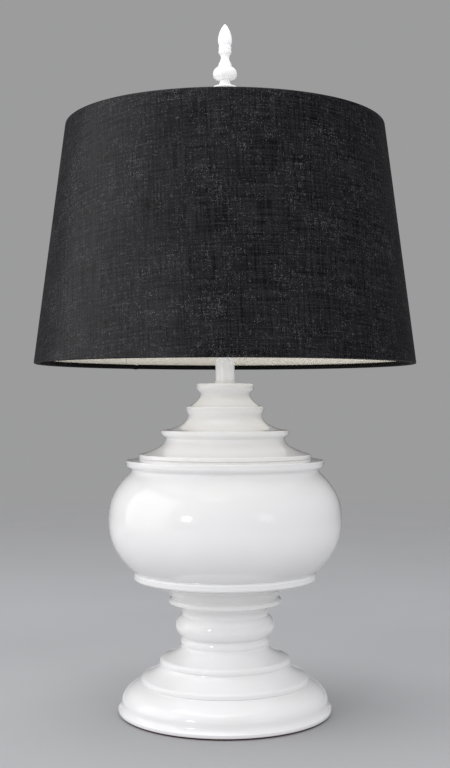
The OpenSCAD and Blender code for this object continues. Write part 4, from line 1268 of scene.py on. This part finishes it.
class LAMP_OT_fixings(Operator):
    """Finishes the rod, its washers and its nuts"""

    bl_idname = "lamp.fixings"
    bl_label = "Rod and fixings"

    def execute(self, context):
        s = millimetres(context.scene.lamp_hardware)
        brass, plated = cut_brass(context), zinc(context)
        low, high = node_mm("threaded_rod")
        r, bore, pitch = high.x, 3.3, s.stud_pitch
        root = r - s.stud_depth
        ridge = [(root, 0), (r, pitch / 2), (root, pitch)]
        thread = threaded("rod_thread", ridge, pitch, low.z, low.z + 0.3, high.z - 0.3, 16)
        pipe = turned("rod_pipe", [
            (bore, low.z), (root, low.z), (root + 0.02, low.z + 0.4), (root + 0.02, high.z - 0.4),
            (root, high.z), (bore, high.z),
        ], 48)
        fitted(join([pipe, thread], "threaded_rod_brass"), brass, "threaded_rod")
        for node, material in (("rod_nuts", brass), ("rod_washer", plated),
                               ("rod_lock_washer", plated)):
            fitted(softened(node + "_soft", node, s.softening), material, node)
        return {"FINISHED"}


# ---- Harp ----


def harp_line():
    """Middle line of the harp's wire from foot to foot, in millimetres."""
    low, high = node_mm("harp")
    saddle = node_mm("harp_saddle")[1]
    wire = (high.y - low.y) / 2
    leg = saddle.x - 7  # each leg's socket stands this far inside the saddle's end
    half = high.x - wire
    foot, top = low.z, high.z - wire
    straight = saddle.z + 18  # the legs are straight up to here
    side = straight + 0.33 * (top - straight)  # the bow is widest here
    crown = 9  # the wire runs level this far each way through the crown
    right = [
        (leg, foot),
        *bend((leg, straight), (leg, straight + 30), (half, side - 38), (half, side), 24),
        *bend((half, side), (half, side + 90), (half - 8, top), (crown, top), 40),
        (crown, top),
    ]
    return [*right, *[(-x, z) for x, z in reversed(right)]], leg


def wire_along(name, points, radius):
    """A round wire along points in the XZ plane, in millimetres."""
    obj = drawn(name, points)
    stop_edit()
    only(obj)
    bpy.ops.object.convert(target="CURVE")
    obj = bpy.context.object
    obj.data.dimensions = "3D"
    obj.data.bevel_depth = radius / 1000
    obj.data.bevel_resolution = 6
    obj.data.use_fill_caps = True
    bpy.ops.object.convert(target="MESH")
    obj = bpy.context.object
    edit(obj)
    bpy.ops.mesh.remove_doubles(threshold=1e-6)
    bpy.ops.mesh.normals_make_consistent(inside=False)
    stop_edit()
    return smooth(obj, 50)


class LAMP_OT_harp(Operator):
    """Bends the harp's wire and makes its crown, ferrules, sleeves and saddle"""

    bl_idname = "lamp.harp"
    bl_label = "Harp"

    def execute(self, context):
        s = millimetres(context.scene.lamp_hardware)
        plate = nickel(context)
        line, leg = harp_line()
        fitted(wire_along("harp_wire", line, s.wire / 2), plate, "harp")
        self.crown(context, s)

        low, high = node_mm("harp_ferrules")
        r = high.x - leg
        ferrules = []
        for side in (-1, 1):
            ring = [(s.wire / 2 + 0.05, low.z), (r - 0.3, low.z), (r, low.z + 0.3),
                    (r, high.z - 2.2), (r - 0.5, high.z - 1.9), (r - 0.5, high.z - 1.5),
                    (r, high.z - 1.2), *top_edge(r, high.z, 0.7, 5),
                    (s.wire / 2 + 0.05, high.z)]
            ferrules.append(turned("ferrule", [(side * leg + x, z) for x, z in ring], 48,
                                   side * leg))
        fitted(join(ferrules, "harp_ferrules_nickel"), plate, "harp_ferrules")

        for side, node in ((-1, "harp_sleeve_left"), (1, "harp_sleeve_right")):
            low, high = node_mm(node)
            outer = (high.x - low.x) / 2
            bore = outer - 0.8  # the sleeve's wall
            ring = [(bore, low.z), (outer - 0.2, low.z), (outer, low.z + 0.3),
                    (outer, high.z - 0.3), (outer - 0.2, high.z), (bore, high.z)]
            sleeve = turned(node + "_nickel", [(side * leg + x, z) for x, z in ring], 64,
                            side * leg)
            fitted(sleeve, plate, node)
        saddle = softened("harp_saddle_nickel", "harp_saddle", s.softening)
        fitted(saddle, plate, "harp_saddle")
        return {"FINISHED"}

    def crown(self, context, s):
        """The turned crown, its plate and the finial screw."""
        low, high = node_mm("harp_stud")
        plate_top = node_mm("shade_spider")[0].z - 0.05  # the shade's hub rests on it
        plate_r, barrel_r = high.x, s.wire / 2 + 3
        plate_low = plate_top - 2
        shoulder, shoulder_top = 5.45, plate_top + 1.7  # centres the hub
        screw = 3.1
        root = screw - s.stud_depth
        body = turned("crown_body", [
            (0, low.z), (barrel_r - 0.5, low.z), (barrel_r, low.z + 0.5),
            (barrel_r, plate_low - 0.6), (barrel_r + 0.6, plate_low),
            (plate_r - 0.3, plate_low), (plate_r, plate_low + 0.3),
            *top_edge(plate_r, plate_top, 0.6, 5),
            (shoulder, plate_top), (shoulder, shoulder_top - 0.3),
            (shoulder - 0.3, shoulder_top), (root, shoulder_top),
            (root, high.z - 0.6), (root - 0.6, high.z), (0, high.z),
        ], 64)
        ridge = [(root, 0), (screw, s.stud_pitch / 2), (root, s.stud_pitch)]
        thread = threaded("crown_thread", ridge, s.stud_pitch, shoulder_top, shoulder_top,
                          high.z - 0.7, 32)
        wire_z = node_mm("harp")[1].z - s.wire / 2
        drilled(body, s.wire / 2 + 0.1, (0, 0, wire_z), 40, "X", 32)
        smooth(body)
        fitted(join([body, thread], "harp_stud_brass"), cut_brass(context), "harp_stud")


# ---- Lampholder ----


def knob_hole(obj):
    """Drills the hole for the knob's shaft in the front wall of a turned piece."""
    depth = 60
    drilled(obj, 3.6, (0, -depth / 2, middle_z("switch_knob")), depth)
    return smooth(obj)


class LAMP_OT_lampholder(Operator):
    """Spins the brass lampholder and fits its liner, body, contacts and screws"""

    bl_idname = "lamp.lampholder"
    bl_label = "Lampholder"

    def execute(self, context):
        brass = polished_brass(context)
        cut = cut_brass(context)

        low, high = node_mm("socket_cap")
        base, top, skirt = low.z, high.z, high.x
        sheet, hub, hole, shelf = 0.6, 8, 5.05, 5.8
        cap = turned("socket_cap_brass", [(x, z + base) for x, z in (
            (hub - 0.4, 0), (hub, 0.4),
            *bend((hub, 3.4), (hub + 0.4, 6), (skirt, 6.2), (skirt, 12), 20),
            (skirt, 13.2), (skirt - 0.35, 13.6), (skirt - 0.35, 14.2), (skirt, 14.6),
            (skirt, top - base - 0.3), (skirt - 0.3, top - base), (skirt - sheet, top - base),
            *bend((skirt - sheet, 12), (skirt - sheet, 7), (hub + 1, 6.8),
                  (hub - sheet, shelf), 20),
            (hub - sheet, shelf), (hole, shelf), (hole, 0))], 128)
        fitted(cap, brass, "socket_cap")

        low, high = node_mm("socket_shell")
        z0, z1 = low.z, high.z
        bead = high.x
        r = bead - 0.6
        inner = r - sheet
        shell = turned("socket_shell_brass", [
            (inner, z0), (r, z0), (r, z1 - 8), (r + 0.35, z1 - 7.6), (r + 0.35, z1 - 7.0),
            (r, z1 - 6.6), (r, z1 - 2.4),
            *bend((r, z1 - 2.4), (bead, z1 - 2.2), (bead, z1 - 0.3), (r, z1), 10),
            (r - 0.2, z1), (inner, z1 - 0.2)], 128)
        fitted(knob_hole(shell), brass, "socket_shell")
        low, high = node_mm("socket_liner")
        outer, inner = high.x, high.x - 0.9
        liner = turned("socket_liner_fibre", [
            (inner, low.z), (outer, low.z), (outer, high.z), (inner, high.z)], 96)
        fitted(knob_hole(liner), fibre_board(context), "socket_liner")
        fitted(softened("socket_insulator_phenolic", "socket_insulator", 0.4), phenolic(context),
               "socket_insulator")
        fitted(self.rolled_shell(), nickel(context), "screw_shell")
        z = node_mm("centre_contact")[0].z
        contact = turned("centre_contact_brass", [
            (0, z), (2, z), (2, z + 0.8), (3.3, z + 0.9), (3.6, z + 1.1), (3.4, z + 1.35),
            (2.4, z + 1.4), (0, z + 1.4)], 48)
        fitted(contact, cut, "centre_contact")
        fitted(self.screws(), cut, "terminal_screws")
        return {"FINISHED"}

    def rolled_shell(self):
        """The screw shell: thin sheet rolled to the bulb's thread."""
        low, high = node_mm("screw_shell")
        r, z0, z1 = high.x, low.z, high.z
        sheet, hole = 0.5, 8
        return turned("screw_shell_nickel", [
            (hole, z0), (r - 0.8, z0), (r - 0.2, z0 + 0.2), (r, z0 + 0.8), (r, z1 - 0.2),
            (r - 0.2, z1), (r - sheet, z1), (r - sheet, z0 + 0.9), (r - 0.9, z0 + sheet),
            (hole, z0 + sheet)], 96)

    def screws(self):
        """Two terminal screws with domed, slotted heads."""
        low, high = node_mm("terminal_screws")
        head, shank, side_z, dome = (high.z - low.z) / 2, 1.5, 0.7, 0.9
        outer = high.x
        inner = outer - side_z - dome
        outline = [(0, inner - 5), (shank, inner - 5), (shank, inner), (head - 0.3, inner),
                   (head, inner + 0.3), (head, inner + side_z),
                   *[(head * math.cos(a), inner + side_z + dome * math.sin(a))
                     for a in (math.pi / 16 * i for i in range(1, 8))], (0, outer)]
        pieces = []
        for side in (-1, 1):
            screw = turned("terminal_screw", outline, 40)
            nothing_selected()
            bpy.ops.mesh.primitive_cube_add(size=1, location=(0, 0, (outer + 1) / 1000),
                                            scale=(0.0009, 0.02, 0.0036))
            cut_away(screw, bpy.context.object)
            laid_over(screw, "Y", -side * math.pi / 2, middle_z("terminal_screws"))
            pieces.append(smooth(screw))
        return join(pieces, "terminal_screws_brass")


class LAMP_OT_knob(Operator):
    """Moulds the switch's knob with its flutes"""

    bl_idname = "lamp.knob"
    bl_label = "Switch knob"

    def execute(self, context):
        flutes = context.scene.lamp_hardware.flutes
        low, high = node_mm("switch_knob")
        r = (high.z - low.z) / 2
        near, far = -high.y, -low.y
        grip, shaft = far - 14, 1.6
        knob = turned("switch_knob_abs", [
            (0, near), (shaft, near), (shaft, grip), (r - 1.6, grip), (r - 0.9, grip + 0.5),
            (r - 0.6, grip + 2), (r - 0.15, far - 2.4),
            *top_edge(r - 0.1, far, 1.1, 6), (3.6, far), (3.2, far - 0.35), (0, far - 0.35),
        ], 4 * flutes)
        self.flute(knob, flutes, r, grip, far)
        laid_over(knob, "X", -math.pi / 2, middle_z("switch_knob"))
        fitted(smooth(knob, 40), knob_plastic(context), "switch_knob")
        return {"FINISHED"}

    def flute(self, knob, flutes, r, grip, far):
        """Draws every fourth edge that runs along the grip in towards the axis, by the depth
        of a flute."""
        edit(knob, "DESELECT")
        bpy.ops.mesh.select_mode(type="EDGE")
        stop_edit()
        step = math.tau / (4 * flutes)
        for edge in knob.data.edges:
            ends = [knob.data.vertices[i].co for i in edge.vertices]
            away = [math.hypot(p.x, p.y) * 1000 for p in ends]
            turn = [round(math.atan2(p.y, p.x) / step) for p in ends]
            edge.select = (min(away) > r - 1.2 and turn[0] == turn[1] and turn[0] % 4 == 0
                           and min(p.z for p in ends) * 1000 > grip + 0.2
                           and max(p.z for p in ends) * 1000 < far - 0.2)
        bpy.ops.object.mode_set(mode="EDIT")
        depth = 0.55
        shrink = 1 - depth / r
        bpy.ops.transform.resize(value=(shrink, shrink, 1), center_override=(0, 0, 0))
        stop_edit()


class LAMP_OT_bulb(Operator):
    """Blows the bulb and rolls its screw cap"""

    bl_idname = "lamp.bulb"
    bl_label = "Bulb"

    def execute(self, context):
        s = millimetres(context.scene.lamp_hardware)
        z = node_mm("bulb_contact")[0].z
        tip = turned("bulb_contact_solder", [
            (0, z), (1.4, z + 0.03), (2.6, z + 0.14), (3.6, z + 0.45), (4.15, z + 0.9),
            (4.2, z + 1.5), (0, z + 1.5)], 48)
        fitted(tip, solder(context), "bulb_contact")
        low, high = node_mm("bulb_insulator")
        seal = turned("bulb_seal_glass", [
            (0, low.z), (4.6, low.z), (4.9, low.z + 0.1), (high.x - 0.2, high.z - 0.2),
            (high.x, high.z), (0, high.z)], 64)
        fitted(seal, sealing_glass(context), "bulb_insulator")
        self.screw_cap(context, s)
        self.glass(context)
        return {"FINISHED"}

    def screw_cap(self, context, s):
        """The thin cap with its rolled thread."""
        low, high = node_mm("bulb_screw_cap")
        r = high.x
        pitch, depth = s.bulb_pitch, s.bulb_depth
        wave = [(r - depth / 2 + depth / 2 * math.cos(math.tau * i / 12), pitch * i / 12)
                for i in range(13)]
        start, end = low.z + 3.2, high.z - 3.4
        thread = threaded("cap_thread", wave, pitch, start, start, end, 64)
        skirt = turned("cap_skirt", [
            (r - 2.4, low.z + 0.4), (r - 2, low.z), (r - depth - 0.1, start - 0.4),
            (r - depth - 0.05, end), (r - 0.5, end + 0.5), (r, end + 0.9), (r, high.z - 0.2),
            (r - 0.2, high.z), (r - 0.9, high.z), (r - 0.9 - depth, low.z + 2.9),
            (r - 4, low.z + 0.4)], 96)
        fitted(join([skirt, thread], "bulb_cap_aluminium"), aluminium(context), "bulb_screw_cap")

    def glass(self, context):
        """The blown bulb: two skins, one wall apart."""
        low, high = node_mm("bulb_glass")
        r = high.x
        wall = 0.8
        cap = node_mm("bulb_screw_cap")[1]
        neck, rim = cap.x - 0.9, cap.z
        middle = high.z - r

        def skin(inset):
            """One skin from the neck to the crown."""
            size = r - inset
            return [(neck - inset, low.z),
                    *bend((neck - inset, rim), (neck - inset, rim + 16), (size, middle - 24),
                          (size, middle), 36),
                    *[(size * math.cos(a), middle + size * math.sin(a))
                      for a in (math.pi / 64 * i for i in range(32))], (0, middle + size)]

        glass = turned("bulb_glass_blown", [*skin(0), *reversed(skin(wall))], 96)
        fitted(glass, coated_glass(context), "bulb_glass")


# ---- Shade ----


def shade_cone():
    """Lower and upper edge of the shade: each a radius and a height, in millimetres."""
    low, high = node_mm("shade_bottom_binding")
    top = node_mm("shade_top_binding")[1]
    return (high.x, low.z), (top.y, top.z)


def wall_radius(z):
    """Radius of the shade's outside at a height, in millimetres."""
    (low_r, low_z), (high_r, high_z) = shade_cone()
    return low_r + (high_r - low_r) * (z - low_z) / (high_z - low_z)


def laid_flat(obj, seam, grain, turns=None, reach=None):
    """Gives a conical piece the UV map of its cloth laid flat, in metres, with the cut centred
    opposite the seam and its grain turned by an angle. turns holds each point's turn from the
    seam where the cloth goes round more than once. reach gives a point's distance from the
    cone's tip where the cloth is folded."""
    (low_r, low_z), (high_r, high_z) = shade_cone()
    slope = (low_r - high_r) / math.hypot(low_r - high_r, high_z - low_z)
    layers = obj.data.uv_layers
    layer = layers[0] if layers else layers.new()
    layer.name = "cloth"
    for polygon in obj.data.polygons:
        middle = polygon.center
        home = (math.atan2(middle.y, middle.x) - seam) % math.tau
        for loop in polygon.loop_indices:
            index = obj.data.loops[loop].vertex_index
            point = obj.data.vertices[index].co
            if turns:
                turn = turns[index]
            else:
                turn = math.atan2(point.y, point.x) - seam
                turn += math.tau * round((home - turn) / math.tau)
            away = reach(point) if reach else math.hypot(point.x, point.y) / slope
            flat = (turn - math.pi) * slope + grain
            layer.data[loop].uv = (away * math.sin(flat), -away * math.cos(flat))
    return obj


class LAMP_OT_shade(Operator):
    """Makes the linen cover, its lining and the folded edge bindings"""

    bl_idname = "lamp.shade"
    bl_label = "Shade"
    steps: IntProperty(name="Steps", description="Steps round the shade", default=360)
    grain: FloatProperty(
        name="Grain", description="Turn of the cloth's grain on the flat cut",
        default=math.radians(2.4), subtype="ANGLE", unit="ROTATION",
    )

    def execute(self, context):
        s = millimetres(context.scene.lamp_shade)
        self.seam = math.pi / 2 + context.scene.lamp_shade.seam_angle
        self.cone = shade_cone()
        low, high = self.cone[0][1], self.cone[1][1]
        cloth = linen(context)
        hem = s.binding_width + 0.02

        cover = self.wall("shade_cover_linen", low + hem, high - hem, 0, s.linen, s.overlap)
        fitted(smooth(cover), cloth, "shade_cover")

        behind = 1.7
        butt = -0.5  # the lining's ends stop short of each other
        lining = self.wall("shade_lining_styrene", low + 1, high - 1, behind, s.lining - 0.1,
                           butt)
        fitted(smooth(lining), styrene(context), "shade_lining")

        # painted shade: the inner leg of each binding gets the deeper, even black of the shadow
        # inside the rim
        shadow_edge = painted_shadow(context)
        for node, edge, inward in (("shade_bottom_binding", low, 1),
                                   ("shade_top_binding", high, -1)):
            binding = self.binding(node + "_linen", edge, inward, s)
            fitted(binding, cloth, node)
            binding.data.materials.append(shadow_edge)
            for polygon in binding.data.polygons:
                polygon.material_index = int(self.depth(polygon.center) > s.linen + 0.1)
        return {"FINISHED"}

    def depth(self, point):
        """How far a point, in metres, lies in from the outside of the shade, in mm."""
        return wall_radius(point.z * 1000) - math.hypot(point.x, point.y) * 1000

    def lap_rise(self, turn, overlap=0, fall=0):
        """How far the cloth is lifted where it laps over its own start, from 0 to 1, at a turn
        from the seam. A folded strip stays lifted past the start, and then falls."""
        run_up = 30 / self.cone[0][0]
        rise = (turn - math.tau + run_up) / run_up
        drop = 1 - (turn - overlap) / fall if fall else 0
        x = min(1, max(0, rise, drop))
        return x * x * (3 - 2 * x)

    def wall(self, name, low, high, depth, thick, overlap):
        """A sheet wound once round the cone. Its end laps over its start, or stops short of it
        where the overlap is negative."""
        rise = 16
        points = [(wall_radius(low + (high - low) * i / rise), low + (high - low) * i / rise)
                  for i in range(rise + 1)]
        sheet = drawn(name, points)
        bpy.ops.mesh.select_all(action="SELECT")
        reach = math.tau + overlap / self.cone[0][0]
        bpy.ops.mesh.spin(steps=self.steps, angle=reach, center=(0, 0, 0), axis=(0, 0, 1))
        stop_edit()
        turns = []
        for index, vertex in enumerate(sheet.data.vertices):
            turn = reach * (index // (rise + 1)) / self.steps
            turns.append(turn)
            lift = thick * self.lap_rise(turn) if overlap > 0 else 0
            r = wall_radius(vertex.co.z * 1000) - depth + lift
            angle = self.seam + turn
            vertex.co = (r * math.cos(angle) / 1000, r * math.sin(angle) / 1000, vertex.co.z)
        sheet.data.update()
        face = sheet.data.polygons[0]
        if face.normal.x * face.center.x + face.normal.y * face.center.y < 0:
            edit(sheet)
            bpy.ops.mesh.flip_normals()
            stop_edit()
        laid_flat(sheet, self.seam, self.grain, turns)
        modify(sheet, "SOLIDIFY", thickness=thick / 1000, offset=-1, use_even_offset=True)
        return sheet

    def binding(self, name, edge, inward, s):
        """A strip folded round an edge: an outer leg, a rounded turn under the wire and an
        inner leg. Depths go in from the outside, heights from the edge into the shade."""
        cloth, leg, deep = s.linen, s.binding_width, 7.5
        near, away = 1.7, 2.4  # radii of the outer and the inner turn
        arc = [math.pi / 16 * i for i in range(9)]

        def turn_out(inset):
            """The turn at the outer leg, at a depth inside the cloth."""
            return [(near - (near - inset) * math.cos(a), near - (near - inset) * math.sin(a))
                    for a in arc]

        def turn_in(inset):
            """The turn at the inner leg, at a depth inside the cloth."""
            return [(deep - away + (away - inset) * math.sin(a),
                     away - (away - inset) * math.cos(a)) for a in arc]

        outline = [(0, leg), *turn_out(0), *turn_in(0), (deep, leg - 0.2), (deep - 0.2, leg),
                   (deep - cloth, leg), *reversed(turn_in(cloth)), *reversed(turn_out(cloth)),
                   (cloth, leg)]
        strip = turned(name, [(wall_radius(edge + inward * h) - d, edge + inward * h)
                              for d, h in outline], self.steps)
        (low_r, low_z), (high_r, high_z) = self.cone
        slant = math.hypot(low_r - high_r, high_z - low_z)
        slope = (low_r - high_r) / slant
        stretch = slant / (high_z - low_z)

        def reach(point):
            """Distance from the cone's tip, along the cloth and round its fold."""
            height = inward * (point.z * 1000 - edge)
            depth = self.depth(point)
            round_fold = height * (1 - 2 * depth / deep) - depth
            return (wall_radius(edge) / slope - inward * round_fold * stretch) / 1000

        laid_flat(strip, self.seam, self.grain, None, reach)
        overlap, fall = s.overlap / low_r, 4 / low_r
        tuck, tuck_width = 16, 3
        for vertex in strip.data.vertices:
            r = math.hypot(vertex.co.x, vertex.co.y)
            depth = self.depth(vertex.co)
            turn = (math.atan2(vertex.co.y, vertex.co.x) - self.seam) % math.tau
            share = max(0, 1 - max(0, depth - cloth) / 3)
            lift = cloth * share * self.lap_rise(turn, overlap, fall)
            vertex.co.x *= 1 + lift / (r * 1000)
            vertex.co.y *= 1 + lift / (r * 1000)
            # The strip's own ends are turned under beside the seam.
            beside = (turn - math.tau) * low_r + tuck
            lump = math.exp(-((beside / tuck_width) ** 2))
            vertex.co.z -= inward * lump * min(1, max(0, depth - 1) / 2) / 1000
        if inward < 0:
            self.notch(strip, edge)
        return smooth(strip, 40)

    def notch(self, strip, edge):
        """Snips the inner leg of the upper binding where the three spokes pass."""
        step = math.tau / self.steps
        inner_leg = 5.2  # every point deeper than this is on the inner leg
        for vertex in strip.data.vertices:
            turn = (math.atan2(vertex.co.y, vertex.co.x) - math.pi / 2) % (math.tau / 3)
            aside = min(turn, math.tau / 3 - turn)
            if self.depth(vertex.co) > inner_leg and aside < 1.5 * step:
                vertex.co.z = max(vertex.co.z, (edge - 0.8) / 1000)
        strip.data.update()


def spoke_line():
    """Both ends of a spoke's middle line: a distance from the axis and a height, in mm."""
    low, high = node_mm("shade_top_ring")
    wire = (high.z - low.z) / 2
    hub = (15.2, node_mm("shade_spider")[0].z + 1)
    return hub, (high.y - 2 * wire - 0.05, middle_z("shade_top_ring"))


def spoke_rod(name, radius, index):
    """A round spoke with a slight weld swell at both ends, turned to its place."""
    first, last = spoke_line()
    run, rise = last[0] - first[0], last[1] - first[1]
    long = math.hypot(run, rise)
    tilt = math.atan2(run, rise)
    weld = 0.35  # share by which the ends swell
    rod = turned(name, [(0, 0), *[(radius, z) for z in (0, 0.8, 1.6, 2.4, 3.2)],
                        *[(radius, long - z) for z in (3.2, 2.4, 1.6, 0.8, 0)], (0, long)], 32)
    angle = math.pi / 2 + math.tau * index / 3
    for vertex in rod.data.vertices:
        x, y, z = (value * 1000 for value in vertex.co)
        grow = 1 + weld * max(0, 1 - min(z, long - z) / 3) ** 2
        x, y = x * grow, y * grow
        across = x * math.cos(tilt) + z * math.sin(tilt) + first[0]
        height = -x * math.sin(tilt) + z * math.cos(tilt) + first[1]
        vertex.co = ((across * math.cos(angle) - y * math.sin(angle)) / 1000,
                     (across * math.sin(angle) + y * math.cos(angle)) / 1000, height / 1000)
    rod.data.update()
    return rod


class LAMP_OT_wires(Operator):
    """Makes the shade's two rings and its spider"""

    bl_idname = "lamp.wires"
    bl_label = "Rings and spider"

    def execute(self, context):
        s = millimetres(context.scene.lamp_shade)
        coat = powder_coat(context)
        for node in ("shade_top_ring", "shade_bottom_ring"):
            low, high = node_mm(node)
            wire = (high.z - low.z) / 2
            r, z = high.y - wire, middle_z(node)
            ring = turned(node + "_wire", [
                (r + wire * math.cos(a), z + wire * math.sin(a))
                for a in (math.tau * i / 16 for i in range(16))], 192)
            fitted(ring, coat, node)
        z, hub = node_mm("shade_spider")[0].z, 16
        washer = turned("spider_hub", [
            (5.55, z + 0.2), (5.75, z), (hub - 0.5, z), (hub, z + 0.5), (hub, z + 1.5),
            (hub - 0.5, z + 2), (5.75, z + 2), (5.55, z + 1.8)], 96)
        rods = [spoke_rod("spoke", s.spoke / 2, index) for index in range(3)]
        spider = join([washer, *rods], "shade_spider_wire")
        fitted(spider, coat, "shade_spider")
        return {"FINISHED"}


# ---- Add-on ----

STEPS = (
    LAMP_OT_camera, LAMP_OT_stage, LAMP_OT_felt, LAMP_OT_foot, LAMP_OT_bushing,
    LAMP_OT_fixings, LAMP_OT_stem, LAMP_OT_belly, LAMP_OT_cap, LAMP_OT_neck, LAMP_OT_harp,
    LAMP_OT_lampholder, LAMP_OT_knob, LAMP_OT_bulb, LAMP_OT_wires, LAMP_OT_shade,
    LAMP_OT_finial,
)


class LAMP_PT_sidebar(Panel):
    """Sizes, colours and making of the lamp"""

    bl_label = "Turned Table Lamp"
    bl_idname = "LAMP_PT_sidebar"
    bl_space_type = "VIEW_3D"
    bl_region_type = "UI"
    bl_category = "Lamp"

    def draw(self, context):
        layout = self.layout
        for key, group in GROUPS.items():
            box = layout.box()
            box.label(text=group.__doc__)
            for name in group.__annotations__:
                box.prop(getattr(context.scene, key), name)
        column = layout.column(align=True)
        for step in STEPS:
            column.operator(step.bl_idname)


CLASSES = (*GROUPS.values(), *STEPS, LAMP_PT_sidebar)


def register():
    """Registers the lamp's groups, operators and panel."""
    for kind in CLASSES:
        bpy.utils.register_class(kind)
    for key, group in GROUPS.items():
        setattr(bpy.types.Scene, key, PointerProperty(type=group))


def unregister():
    """Takes them out again."""
    for key in GROUPS:
        delattr(bpy.types.Scene, key)
    for kind in reversed(CLASSES):
        bpy.utils.unregister_class(kind)


def main():
    """Makes the whole lamp."""
    register()
    for step in STEPS:
        group, name = step.bl_idname.split(".")
        getattr(getattr(bpy.ops, group), name)()
    bpy.context.view_layer.update()


if __name__ == "__main__":
    main()
